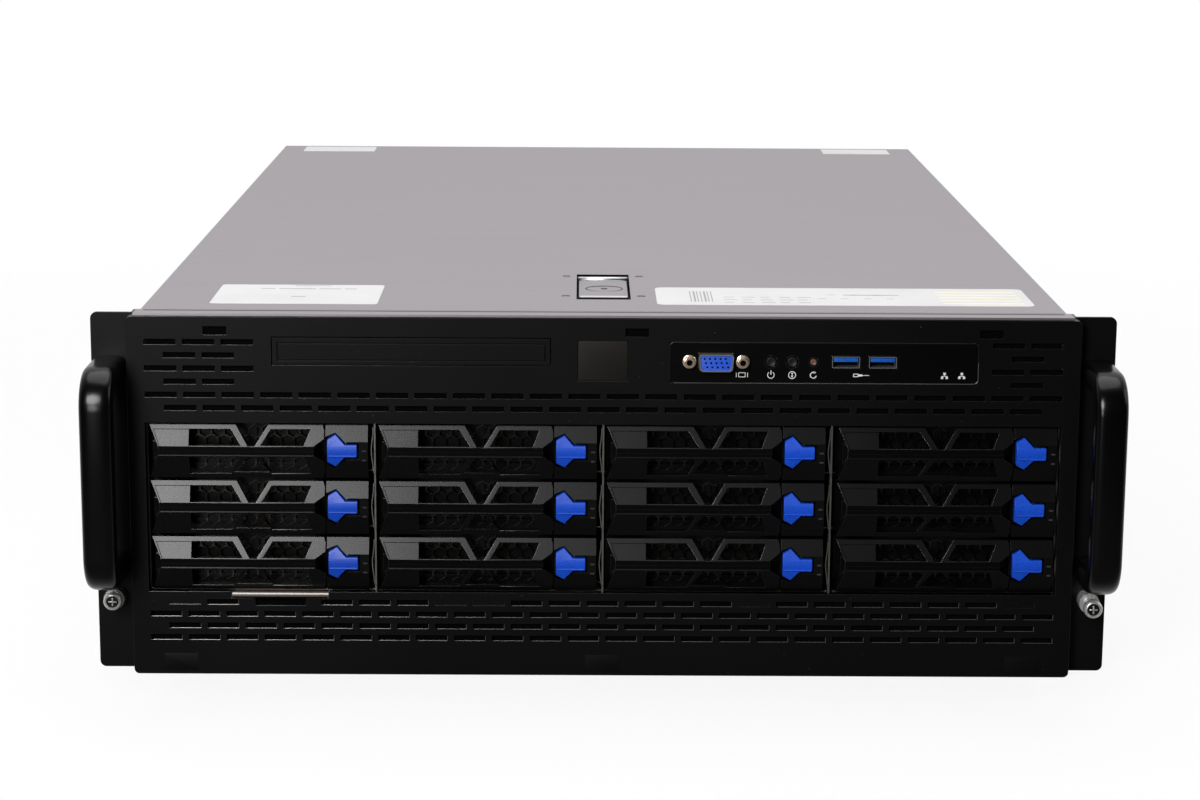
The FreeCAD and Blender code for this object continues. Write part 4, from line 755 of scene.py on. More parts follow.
class SERVER_OT_carriers(bpy.types.Operator):
    """Makes the twelve drive carriers: trays, levers and latches with their ledges, mesh and light pipes"""

    bl_idname = "server.carriers"
    bl_label = "Drive carriers"

    def execute(self, context):
        sizes = context.scene.server_details
        edge = sizes.carrier_edge / MM
        for place, low, high in carriers():
            tray, lever, latch = (f"drive_{kind}_{place}" for kind in ("tray", "lever", "latch"))
            softened(tray, tray, edge, ["tray_black", "drive_metal"], "tray_black",
                     lambda middles: self.drive(middles, low, high), flat=False, crease=CARRIER_CREASE)
            softened(lever, lever, edge, ["lever_black", "moulded_rim", "panel_black"], "lever_black",
                     lambda middles: self.band(middles, high), 1, False, CARRIER_CREASE)
            softened(latch, latch, edge, ["latch_blue"], "latch_blue", flat=False)
            self.lever_trim(place, low, high)
            ledge = Shell().add(bead(84.9, 97.9, LEDGE, low, high))
            seat(f"latch_trim_{place}", ledge, latch, ["latch_blue"], "latch_blue")
            self.tray_trim(place, low, high, sizes)
        self.springs()
        return {"FINISHED"}

    @staticmethod
    def drive(middles, low, high):
        """Number 1 on the drive between the tray's sides, and 0 on the tray."""
        x, y, _ = middles.T
        return (y > low[1] + DRIVE_FRONT) & (x > low[0] + 1.05) & (x < high[0] - 1.05)

    @staticmethod
    def band(middles, high):
        """Number 2 on the band between the lever's slopes, and 0 elsewhere."""
        return 2 * (np.abs(high[2] - middles[:, 2] - (UPPER_CREASE + LOWER_CREASE) / 2) < 1.9)

    def lever_trim(self, place, low, high):
        """Ledge and bead along the lever, and the fine line of painted shadow that frames its left plate."""
        shell = Shell().add(bead(5.2, 77.9, LEDGE, low, high)).add(bead(5.4, 78.5, CORD, low, high))
        # The frame lines are painted shadow: near-black strips laid on the face where a shadow gap would be
        for line in ([(2.4, 2.2), (2.75, 2.45), (5.75, 9.8), (5.45, 9.8)],
                     [(2.4, 2.2), (19.2, 2.2), (19.2, 2.45), (2.75, 2.45)]):
            shell.add(draped(line, low, high, 0.03), 1)
        finishes = ["lever_black", "dark_recess"]
        seat(f"lever_trim_{place}", shell, f"drive_lever_{place}", finishes, "lever_black")

    def tray_trim(self, place, low, high, sizes):
        """Pierced shield behind the lever's windows, two light pipes at the right end, and the drive's
        label, cap and screws."""
        x, y, foot = low
        middle, shield, top = (foot + high[2]) / 2, y + SHIELD, foot + DRIVE_TOP
        pitch, hole = sizes.mesh_pitch / MM, sizes.mesh_hole / MM
        shell = Shell()
        shell.add(honeycomb(x + 16, x + 80, middle - 10.6, middle + 10.6, pitch, hole, shield + 0.6, shield))
        for below in (12.1, 16.6):
            spot = rounded(100.7, 102.8, below - 0.4, below + 0.4, 0.38, 3)
            shell.add(draped(spot, low, high, 0.08, flat=FLAT), 1)
        shell.lying(rounded(x + 14, x + 88, y + 42, y + 118, 2.0), top - 0.2, top + 0.06, 2)
        shell.lying(rounded(x + 20, x + 82, y + 124, y + 152, 6.0), top - 0.2, top + 0.1, 3)
        screw = ((2.2, -0.2), (2.2, 0.05), (1.9, 0.18), (0.7, 0.18), (0.1, 0.02))
        for across, along in ((8, 24), (94, 24), (8, 148), (94, 148)):
            shell.add(turned(screw, (x + across, y + along, top), "z", 14), 3)
        seat(f"shield_{place}", shell, f"drive_tray_{place}",
             ["shield_metal", "light_pipe", "paper_white", "screw_steel"], "cage_steel")

    def springs(self):
        """Spring fingers beside each carrier: a thin strip carried down a line that swells to one side and
        ends in a small hook, the side step being a squared sine of the share of the length."""
        shell = Shell()
        share = np.linspace(0, 1, 25)
        swell = 0.9 * np.clip(np.sin(math.pi * share * 1.15 - 0.2), 0, 1) ** 2
        hook = 8.0 * np.clip(share - 0.9, 0, 1)
        for _, low, high in carriers():
            line = spread(high[0] + 2.3 - swell + hook, low[1] + 4.6, high[2] - 1.0 - share * 23.0)
            shell.add(carried(oblong(0, 0, 0.22, 1.6), line, AXES["x"], AXES["y"]))
        seat("spring_fingers", shell, "chassis", ["cage_steel"], "cage_steel")


class SERVER_OT_handles(bpy.types.Operator):
    """Makes the two bow handles on the ears"""

    bl_idname = "server.handles"
    bl_label = "Bow handles"

    def execute(self, context):
        sizes = context.scene.server_details
        wide, thick, bend = (n / MM for n in (sizes.handle_width, sizes.handle_thick, sizes.handle_bend))
        low, high = span("ear_handles")
        shell = Shell()
        for x in (low[0] + wide / 2, high[0] - wide / 2):
            shell.add(self.bow(x, low, high, wide, thick, bend))
        seat("bow_handles", shell, "chassis", ["handle_black"], "handle_black", ("ear_handles",), 70.0)
        return {"FINISHED"}

    def bow(self, x, low, high, wide, thick, bend):
        """A superellipse carried along a bow: two legs and a front run joined by quarter circles. The
        section's points are the half sizes times cosine and sine, each raised to a power that squares the
        sides."""
        wave = disc(0, 0, 1.0, 32)
        section = np.sign(wave) * np.abs(wave) ** 0.62 * (wide / 2, thick / 2)
        centre, crown, sole = low[1] + thick / 2 + bend, high[2] - thick / 2, low[2] + thick / 2
        turn = np.linspace(0, math.pi / 2, 11)
        ways = np.concatenate([[0.0], turn, turn + math.pi / 2, [math.pi]])
        upper = np.stack([centre - bend * np.sin(turn), crown - bend + bend * np.cos(turn)], -1)
        lower = np.stack([centre - bend * np.cos(turn), sole + bend - bend * np.sin(turn)], -1)
        y, z = np.concatenate([[(high[1], crown)], upper, lower, [(high[1], sole)]]).T
        return carried(section, spread(x, y, z), AXES["x"], spread(0, -np.sin(ways), np.cos(ways)))


class SERVER_OT_screws(bpy.types.Operator):
    """Makes the two captive thumbscrews"""

    bl_idname = "server.screws"
    bl_label = "Thumbscrews"

    def execute(self, context):
        teeth = context.scene.server_details.knurls
        profile = ((2.35, 22.0), (2.35, 5.0), (3.2, 4.95), (3.2, 4.05), (4.1, 4.0), (4.38, 3.7, 0.1),
                   (4.38, 1.3, 0.1), (4.1, 0.7, 0.05), (3.95, 0.45), (3.5, 0.06), (3.25, 0.0), (3.05, 0.16),
                   (2.95, 0.5), (0.4, 0.72))
        recess = ((2.9, 0.6), (2.9, 0.5), (2.2, 0.46), (0.2, 0.44))
        for node in ("thumbscrew_left", "thumbscrew_right"):
            low, high = span(node)
            x, _, z = (low + high) / 2
            tip = (x, low[1], z)
            shell = Shell().add(turned(profile, tip, "y", 4 * teeth, lambda angle: np.cos(teeth * angle)))
            for wide, tall in ((2.0, 0.35), (0.35, 2.0)):
                shell.standing(oblong(x, z, wide, tall), low[1] + 1.2, low[1] + 0.3, soft=0.15)
            # The recess floor is dark metal: painted shade inside the screw head's hollow
            shell.add(turned(recess, tip, "y"), 1)
            finishes = ["screw_steel", "shield_metal"]
            seat(f"{node}_knurled", shell, node, finishes, "screw_steel", (node,), 50.0)
        return {"FINISHED"}


def pin_holes(x, z, back, front):
    """Three rows of five round holes, each row a little to the side of the one above, as thin plates."""
    row, column = np.meshgrid(np.arange(3) - 1, np.arange(5) - 2)
    hole = plate(disc(0, 0, 0.52, 10), "xzy", back, front)
    return repeated(hole, spread(x + column * 2.45 + 0.6 * row, 0, z - 2.0 * row))


class SERVER_OT_ports(bpy.types.Operator):
    """Makes the front panel's display socket with its jack screws, and its two serial sockets"""

    bl_idname = "server.ports"
    bl_label = "Front sockets"

    def execute(self, context):
        low, high = span("front_ports")
        face = span("control_panel")[0][1]
        level = (low[2] + high[2]) / 2
        shell = Shell()
        self.display_socket(shell, DISPLAY, level, face)
        for x in SOCKETS:
            self.data_socket(shell, x, level, face)
        board = rounded(low[0] + 0.6, high[0] - 0.6, level - 4.7, level - 3.1, 0.5)
        shell.standing(board, high[1], face + 3, 3)
        finishes = ["port_metal", "socket_blue", "dark_recess", "board_green", "contact_gold", "tongue_blue",
                    "jack_brass"]
        seat("front_sockets", shell, "chassis", finishes, "port_metal", ("front_ports",))
        return {"FINISHED"}

    def display_socket(self, shell, x, z, face):
        """A tapered metal shell round a blue block with rows of holes painted as dark discs of shade,
        between two hexagon jack screws whose bores are painted shade.
        """
        outer = tapered(oblong(x, z, 7.9, 4.1, 1.6, 6), 0.05)
        inner = tapered(oblong(x, z, 7.35, 3.55, 1.3, 6), 0.05)
        shell.framing(outer, inner, face + 6, face - 4.4)
        shell.standing(inner, face + 6, face - 3.6, 1, 0.2)
        shell.add(pin_holes(x, z, face - 3.2, face - 3.64), 2)
        bore = ((1.5, 3.0), (1.5, -2.2), (0.2, -1.4))
        washer = ((3.2, 0.4), (3.2, -0.5), (2.9, -0.65), (2.2, -0.65))
        for jack in (x - JACK_SPREAD / 2, x + JACK_SPREAD / 2):
            shell.framing(hexagon(jack, z, 2.5), disc(jack, z, 1.45, 24), face + 4, face - 3.9, 6)
            shell.add(turned(bore, (jack, face, z), "y", 18), 2)
            shell.add(turned(washer, (jack, face, z), "y", 26), 6)
        shell.standing(oblong(x, z, 15.4, 4.6, 1.0), face + 3.4, face + 2.6)

    def data_socket(self, shell, x, z, face):
        """A rolled metal shell with a blue tongue in its upper half, gold contacts under it, and a back in
        painted shade.
        """
        inner = oblong(x, z, 6.2, 2.4, 0.3)
        shell.framing(oblong(x, z, 6.5, 2.7, 0.5), inner, face + 13, face - 0.55)
        shell.standing(inner, face + 13, face + 8.5, 2)
        shell.standing(rounded(x - 5.7, x + 5.7, z + 0.15, z + 2.0, 0.25), face + 9, face - 0.1, 5, 0.2)
        pin = plate(rectangle(-0.4, 0.4, -0.1, 0.2), "xzy", face + 9, face + 1.4)
        shell.add(repeated(pin, spread(x + (np.arange(4) - 1.5) * 2.3, 0, z + 0.05)), 4)


class SERVER_OT_buttons(bpy.types.Operator):
    """Makes the three front buttons and the collars round them"""

    bl_idname = "server.buttons"
    bl_label = "Front buttons"

    def execute(self, context):
        face = span("control_panel")[0][1]
        collars = Shell()
        for node in ("power_button", "id_button", "reset_button"):
            low, high = span(node)
            x, _, z = (low + high) / 2
            radius = (high[0] - low[0]) / 2
            profile = ((radius, high[1] - low[1]), (radius, 0.4), (radius - 0.12, 0.12),
                       (radius - 0.35, 0.0), (radius - 0.6, 0.06), (radius * 0.45, 0.3), (0.15, 0.34))
            cap = Shell().add(turned(profile, (x, low[1], z), "y", 36))
            seat(f"{node}_cap", cap, node, [SLOTS[node]], SLOTS[node], (node,), 60.0)
            ring = ((0.95, 0.4), (0.95, -0.1), (0.7, -0.3), (0.5, -0.3), (0.38, -0.1), (0.38, 0.4))
            points, _ = turned([(radius + out, deep) for out, deep in ring], (x, face, z), "y", 40)
            collars.add((points, [grid_faces(len(ring), 40, ring=True, loop=True)]))
        seat("button_collars", collars, "chassis", ["panel_gloss"], "panel_black")
        return {"FINISHED"}


class SERVER_OT_marks(bpy.types.Operator):
    """Prints the plain signs under the buttons and sockets, and makes the bead round the panel"""

    bl_idname = "server.marks"
    bl_label = "Panel signs"

    def execute(self, context):
        low, high = span("control_panel")
        back, front, level = low[1] + 0.2, low[1] - 0.03, low[2] + 3.7
        shell = Shell()
        for outline in self.signs(level):
            shell.standing(outline, back, front)
        for outer, inner in self.frames(level):
            shell.framing(outer, inner, back, front)
        seat("panel_signs", shell, "chassis", ["print_white"], "panel_black")
        border = rounded(low[0] - 0.2, high[0] + 0.2, low[2] - 0.2, high[2] + 0.2, 2.1, 6)
        trim = Shell().add(piped(border, 0.32, "xzy", low[1]))
        self.highlight_edge(trim, low, high)
        seat("panel_bead", trim, "chassis", ["panel_gloss", "cut_edge"], "panel_black", smooth=80.0)
        return {"FINISHED"}

    def highlight_edge(self, trim, low, high):
        """A thin bead of lighter metal along the panel's foot, round its right corner and a little way up: a
        painted highlight on the lit edge.
        """
        angles = np.radians(np.linspace(-90, 0, 9))
        corner = spread(np.cos(angles), 0, np.sin(angles))
        across = np.concatenate([corner[:1], corner, corner[-1:]])
        places = np.array([high[0] - 1.9, low[1] - 0.22, low[2] + 1.9]) + 2.15 * across
        places[0, 0], places[-1, 2] = low[0] + 2.0, low[2] + 10.0
        trim.add(carried(disc(0, 0, 0.13, 8), places, across, AXES["y"]), 1)

    def signs(self, z):
        """Closed outlines of the signs: bars, part rings, an arrow head and small trees of squares."""
        power, find, reset = BUTTONS
        yield rectangle(61.9, 62.2, z - 1.1, z + 1.1)
        yield rectangle(67.2, 67.5, z - 1.1, z + 1.1)
        yield band(power, z, 1.55, 0.36, 125, 415, 26)
        yield rectangle(power - 0.24, power + 0.24, z + 0.2, z + 2.1)
        yield disc(find, z + 0.75, 0.4, 12)
        yield rectangle(find - 0.32, find + 0.32, z - 1.1, z + 0.15)
        yield band(reset, z, 1.4, 0.45, 60, 350, 26)
        yield np.array([(reset + 0.2, z + 1.95), (reset + 0.2, z + 0.55), (reset + 1.35, z + 1.35)])
        yield rectangle(119.4, 121.2, z - 0.5, z + 0.5)
        yield rectangle(121.2, 124.4, z - 0.14, z + 0.14)
        for x in (159.8, 167.9):
            yield rectangle(x - 0.6, x + 0.6, z + 0.4, z + 1.5)
            yield rectangle(x - 0.15, x + 0.15, z - 0.2, z + 0.4)
            yield rectangle(x - 1.3, x + 1.3, z - 0.35, z - 0.1)
            yield rectangle(x - 1.65, x - 0.55, z - 1.5, z - 0.35)
            yield rectangle(x + 0.55, x + 1.65, z - 1.5, z - 0.35)

    def frames(self, z):
        """Pairs of outlines with a hole: the screen, the ring round the locating sign and the plug."""
        yield oblong(64.7, z, 1.7, 1.15, 0.3), oblong(64.7, z, 1.4, 0.85, 0.15)
        yield disc(BUTTONS[1], z, 1.85, 30), disc(BUTTONS[1], z, 1.5, 30)
        yield oblong(118.15, z, 1.25, 0.8, 0.25), oblong(118.15, z, 0.9, 0.45, 0.12)


class SERVER_OT_cover_trim(bpy.types.Operator):
    """Makes the blank labels, stamped marks and seam of the cover, and the relief of its flap latch"""

    bl_idname = "server.cover_trim"
    bl_label = "Cover labels and latch"

    def execute(self, context):
        sheet = context.scene.server_details.label_sheet / MM
        front, top = span("front_bezel")[0][1], span("top_cover")[1][2]
        self.labels(front, top, sheet)
        self.dimples(front, top)
        seam = Shell().lying(rectangle(-216.5, 216.5, front + 8.0, front + 10.6), top - 0.1, top + 0.02)
        seat("cover_seam", seam, "chassis", ["stamped_shade"], "case_steel")
        self.flap()
        return {"FINISHED"}

    def labels(self, front, top, sheet):
        """Two wide labels near the front and two small ones at the rear, with ruled bars and no words."""
        shell = Shell()
        for left, right, near, far, radius in ((-188, -108, 28, 83, 2.0), (25.5, 206.5, 31, 81, 4.0),
                                               (-203, -154, 645, 672, 1.0), (156, 202, 645, 672, 1.0)):
            shell.lying(rounded(left, right, front + near, front + far, radius), top - 0.1, top + sheet)
        bars = [(-168 + start, 70.5, wide, 1.5) for start, wide in ((0, 7), (9, 18), (28.5, 11), (41, 6))]
        bars += [(-152, 79.5, 18, 1.2), (-151, 48, 7, 1.5), (117, 60, 27, 1.6)]
        bars += [(42 + 1.7 * k, 40, 0.5 + 0.4 * (k % 3 == 1), 30) for k in range(7)]
        bars += [(58 + 9.0 * (k % 5), 38 + 7.5 * (k // 5), 4.5 + k % 3, 0.9) for k in range(15)]
        bars += [(104 + 5.5 * k, 50 + 11.0 * (k % 2), 3.6, 0.8) for k in range(7)]
        for x, near, wide, deep in bars:
            shell.lying(rectangle(x, x + wide, front + near, front + near + deep), top, top + sheet * 1.4, 2)
        for near in range(37, 77, 8):
            shell.lying(rectangle(163, 202, front + near, front + near + 3), top, top + sheet * 1.4, 1)
        seat("cover_labels", shell, "top_cover", ["paper_white", "paper_cream", "paper_rule"], "tag_grey")

    def dimples(self, front, top):
        """Four shallow stamped marks round the latch, each ringed with painted shade."""
        shell = Shell()
        rises = ((1.0, -0.05), (1.0, 0.02), (0.85, 0.12), (0.6, 0.16), (0.35, 0.06), (0.05, 0.0))
        for x in (-18.3, 18.3):
            for y in (front + 54.5, front + 114):
                shell.add(swelling((x, y, top), (2.4, 2.4), rises))
                shell.add(hoop(disc(x, y, 2.0), disc(x, y, 1.0), "xyz", top, top + 0.17), 1)
        seat("cover_dimples", shell, "top_cover", ["case_steel", "stamped_shade"], "case_steel", smooth=80.0)

    def flap(self):
        """The flap's finger relief ringed with painted shade, its front and sides in painted shade, its
        lifted lip in bright metal as a painted highlight, and a bar behind it whose bright metal is also a
        painted highlight.
        """
        (left, near, _), (right, far, top) = span("cover_latch")
        fall, along, radii = 1.6 / (far - near - 2), 37.0, (9.5, 8.5)
        spot = ((left + right) / 2 + 0.5, near + along, top - fall * (along - 2))
        rises = ((1.0, -0.1), (1.0, 0.02), (0.92, 0.22), (0.82, 0.26), (0.72, 0.12), (0.3, 0.04),
                 (0.16, 0.05), (0.12, 0.16), (0.04, 0.18))
        shell = Shell().add(swelling(spot, radii, rises, fall=fall))
        shell.lying(rectangle(left + 0.1, right - 0.1, near + 0.2, near + 7.0), top - 0.6, top + 0.04, 2)
        side = ((near + 6, top - 0.6), (far - 4.5, top - 2.2), (far - 4.5, top - 1.45),
                (near + 6, top + 0.04))
        for x in (left + 0.05, right - 0.6):
            shell.add(plate(side, "yzx", x, x + 0.55), 2)
        lip = ((near + 6.8, top - 0.6), (near + 6.8, top - 0.15), (near + 7.7, top + 0.15),
               (near + 11.0, top + 0.1), (near + 15.0, top - 0.45))
        shell.add(plate(lip, "yzx", left + 1.2, right - 1.2), 1)
        ring = disc(0, 0, 1.0, 40) * radii
        for outer, inner in ((0.98, 0.9), (0.17, 0.02)):
            shell.add(repeated(hoop(ring * outer, ring * inner, "xyz", 0.0, 0.27), [spot]), 3)
        seat("flap_relief", shell, "cover_latch",
             ["case_steel", "fin_aluminium", "dark_recess", "stamped_shade"], "case_steel", smooth=60.0)
        ends = [(left - 0.2, 0.3), (left, 0), (right, 0), (right + 0.2, 0.3)]
        bar = Shell().add(stacked(rounded(far + 0.7, far + 4.4, top - 4.6, top - 0.5, 1.2), "yzx", ends))
        seat("flap_bar", bar, "top_cover", ["fin_aluminium"], "case_steel", smooth=60.0)


class SERVER_OT_bezel_trim(bpy.types.Operator):
    """Makes the bezel's bare badge plate and patches, sheets of painted shade behind its slots and key
    holes, painted highlights on slot edges, and the tag's painted highlight and shade
    """

    bl_idname = "server.bezel_trim"
    bl_label = "Bezel details"

    def execute(self, context):
        face = span("front_bezel")[0][1]
        shell = Shell().standing(rounded(-12.2, 11.2, 144.1, 163.0, 0.8), face + 0.7, face + 0.05, 1, 0.25)
        for x in (-201.0, 0.0, 201.0):
            shell.standing(oblong(x, 6.0, 8.2, 4.1, 0.6), face + 0.2, face - 0.1, soft=0.08)
        # Plates of painted shade behind the key holes, so the lit chassis does not show through
        for x in (-182.0, 15.5, 181.5):
            shell.standing(oblong(x, 167.0, 7.0, 4.0), face + 2.1, face + 1.9, 2)
        self.shade_sheets(shell, face + 1.9)
        self.lips(shell, face)
        finishes = ["bezel_black", "badge_dark", "dark_recess", "cut_edge"]
        seat("bezel_patches", shell, "chassis", finishes, "bezel_black")
        self.tag_edge()
        return {"FINISHED"}

    def shade_sheets(self, shell, level):
        """Near-black sheets of painted shade behind the rows of slots."""
        blank, panel = span("optical_bay_cover")[0][0] - 3, span("control_panel")[1][0] + 3
        for left, right, foot, head in ((-214, 214, 15.5, 37.3), (-214, 214, 128.0, 138.5),
                                        (-214, blank, 138.5, 163.0), (panel, 214, 138.5, 163.0)):
            shell.standing(rectangle(left, right, foot, head), level, level + 0.3, 2)

    def lips(self, shell, face):
        """Thin round beads of lighter metal at the foot and the right end of the lower rows' slots: painted
        highlights on the edges that catch the light.
        """
        foot = carried(disc(0, 0, 0.09, 8), np.array([(-6.6, 0, 0), (7.4, 0, 0)]), AXES["y"], AXES["z"])
        end = carried(disc(0, 0, 0.1, 8), np.array([(7.45, 0, 0), (7.45, 0, 2.3)]), AXES["x"], AXES["y"])
        for row in range(4):
            count = 23 + row % 2
            x = (np.arange(count) - (count - 1) / 2) * SLOT_PITCH
            blind = np.isin(np.arange(count), (0, 7, 8, count - 8, count - 1)) | (np.abs(x + 153.25) < 20)
            x = x[~blind] if row == 0 else x
            spots = spread(x, face + 0.07, 34.42 - SLOT_ROW * row)
            shell.add(repeated(foot, spots), 3).add(repeated(end, spots), 3)

    def tag_edge(self):
        """The tag's pale upper lip, a painted highlight on its lit top, and the dark line along its foot,
        which is painted shade.
        """
        low, high = span("info_tag")
        left, right, face = low[0] + 0.2, high[0] - 0.2, low[1]
        shell = Shell()
        shell.lying(rectangle(left, right, face - 0.05, face + 1.0), high[2] - 0.6, high[2] + 0.03, soft=0.1)
        shell.standing(rectangle(left, right, low[2] + 0.1, low[2] + 0.8), face + 0.3, face - 0.05, 1)
        seat("tag_edge", shell, "info_tag", ["tag_lip", "panel_black"], "tag_grey")


class SERVER_OT_rear(bpy.types.Operator):
    """Makes the rear sockets in their shield, and the holes and screws of the card blanks"""

    bl_idname = "server.rear"
    bl_label = "Rear sockets and card blanks"

    def execute(self, context):
        low, high = span("mainboard")
        wall, face = span("chassis_tray")[1][1], high[1]
        left, foot = low[0] + 6, low[2] + BOARD_TOP
        shell = Shell()
        shell.framing(rectangle(left - 4, left + 156, foot - 0.8, foot + 45),
                      rectangle(left, left + 152, foot, foot + 36), wall - 0.5, wall + 0.35)
        for x in (left + 11, left + 141):
            for z in (foot + 7, foot + 17.5, foot + 28):
                self.mouth(shell, x, z, 12.4, 4.8, face)
                shell.standing(rectangle(x - 5.2, x + 5.2, z, z + 1.6), face - 0.2, face + 0.3, 4)
        for z, block in ((foot + 9, 4), (foot + 26.5, 5)):
            self.display(shell, left + 44, z, face, block)
        for x in (left + 79, left + 99, left + 119):
            for z in (foot + 9, foot + 26.5):
                self.network(shell, x, z, face)
        self.blanks(shell, low[0] + 178, foot, wall)
        finishes = ["port_metal", "dark_recess", "contact_gold", "light_pipe", "socket_blue", "chip_black"]
        seat("rear_sockets", shell, "chassis", finishes, "port_metal")
        return {"FINISHED"}

    def mouth(self, shell, x, z, wide, tall, face):
        """A rolled metal rim round an opening whose back is painted shade."""
        inner = oblong(x, z, wide / 2, tall / 2, 0.35)
        shell.framing(oblong(x, z, wide / 2 + 0.7, tall / 2 + 0.7, 0.6), inner, face - 0.5, face + 0.7)
        shell.standing(inner, face - 0.3, face + 0.06, 1)

    def display(self, shell, x, z, face, block):
        """A tapered metal rim round a block with rows of holes painted as dark discs of shade, between two
        hexagon jack screws whose bores are painted shade.
        """
        outer, inner = (tapered(oblong(x, z, *half, 1.5, 6), 0.05) for half in ((8.4, 4.6), (7.7, 3.9)))
        shell.framing(outer, inner, face - 0.5, face + 4.0)
        shell.standing(inner, face - 0.3, face + 3.0, block, 0.2)
        shell.add(pin_holes(x, z, face + 2.6, face + 3.04), 1)
        for jack in (x - JACK_SPREAD / 2, x + JACK_SPREAD / 2):
            shell.framing(hexagon(jack, z, 2.75), disc(jack, z, 1.45, 24), face - 0.3, face + 4.0)
            shell.standing(disc(jack, z, 1.5, 18), face - 0.3, face + 1.5, 1)

    def network(self, shell, x, z, face):
        """A square opening with a stepped notch, eight contacts and two small lights."""
        self.mouth(shell, x, z, 15.0, 12.4, face)
        contact = plate(rectangle(-0.25, 0.25, 0, 3.2), "xzy", face - 0.2, face + 0.2)
        shell.add(repeated(contact, spread(x + (np.arange(8) - 3.5) * 1.1, 0, z + 2.4)), 2)
        shell.standing(rectangle(x - 3, x + 3, z - 6.2, z - 4.2), face - 0.2, face + 0.12, 5)
        for light in (x - 5.6, x + 5.6):
            shell.standing(oblong(light, z - 5.2, 1.2, 0.7, 0.3), face - 0.2, face + 0.25, 3)

    def blanks(self, shell, first, foot, wall):
        """Two columns of round holes, painted as dark discs of shade, down each of the seven card blanks,
        and a screw over each.
        """
        blank, column, row = np.meshgrid(np.arange(7), np.arange(2), np.arange(12), indexing="ij")
        spots = spread(first + blank * CARD_PITCH + 4.0 + column * 6.0, wall - 1.2, foot + 12.0 + row * 8.0)
        shell.add(repeated(plate(disc(0, 0, 1.7, 8), "xzy", -0.2, 0.05), spots), 1)
        for x in first + 7 + CARD_PITCH * np.arange(7):
            shell.add(pan_head((x, wall, foot + 113), "y", 3.0))


class SERVER_OT_supplies(bpy.types.Operator):
    """Makes the rear of the two power supplies: fan guard, mains inlet, release tab and light"""

    bl_idname = "server.supplies"
    bl_label = "Power supplies"

    def execute(self, context):
        light = ((1.5, -0.2), (1.5, 0.3), (1.2, 0.6), (0.1, 0.7))
        finishes = ["screw_steel", "dark_recess", "chip_black", "latch_green", "light_pipe"]
        for node in ("power_supply_1", "power_supply_2"):
            low, high = span(node)
            x, _, z = (low + high) / 2
            face = high[1] - SUPPLY_GRIP
            shell = Shell()
            self.guard(shell, x - 19.5, z, face)
            self.inlet(shell, x + 19.5, z - 2.5, face)
            shell.standing(oblong(x + 22, z + 14, 10.0, 2.6, 1.2), face - 0.2, face + 2.2, 3, 0.6)
            shell.add(turned(light, (x + 7, face, z + 14), "y", 16), 4)
            seat(f"{node}_rear", shell, node, finishes, "supply_metal")
        return {"FINISHED"}

    def guard(self, shell, x, z, face):
        """Wire rings and three spokes over an opening painted as a dark disc of shade, with a screw at each
        corner.
        """
        shell.standing(disc(x, z, 15.6, 40), face - 0.3, face + 0.08, 1)
        for radius in (3.5, 7.5, 11.5, 15.5):
            shell.add(piped(disc(x, z, radius, 40), 0.55, "xzy", face + 1.2))
        shell.add(turned(((3.0, 0.2), (3.0, 1.5), (2.2, 1.9), (0.1, 2.0)), (x, face, z), "y", 20))
        for angle in 0.3 + np.arange(3) * math.pi / 3:
            turn = np.array([[math.cos(angle), math.sin(angle)], [-math.sin(angle), math.cos(angle)]])
            shell.standing(oblong(0, 0, 15.5, 0.5) @ turn + (x, z), face + 0.3, face + 1.1)
        for across in (x - 13.6, x + 13.6):
            for up in (z - 15.2, z + 15.2):
                shell.add(pan_head((across, face, up), "y", 1.9))

    def inlet(self, shell, x, z, face):
        """A moulded collar with two cut corners round an opening painted in shade, with three blades."""
        corners = np.array([(-13.6, -10), (13.6, -10), (13.6, 6), (9.6, 10), (-9.6, 10), (-13.6, 6)])
        shell.framing(corners + (x, z), corners * (0.82, 0.76) + (x, z), face - 0.3, face + 1.6, 2)
        shell.standing(corners * (0.83, 0.77) + (x, z), face - 0.3, face + 0.1, 1)
        for side, rise in ((-6.5, -2.5), (0, 2.2), (6.5, -2.5)):
            shell.standing(oblong(x + side, z + rise, 0.9, 2.2), face, face + 1.2, soft=0.2)


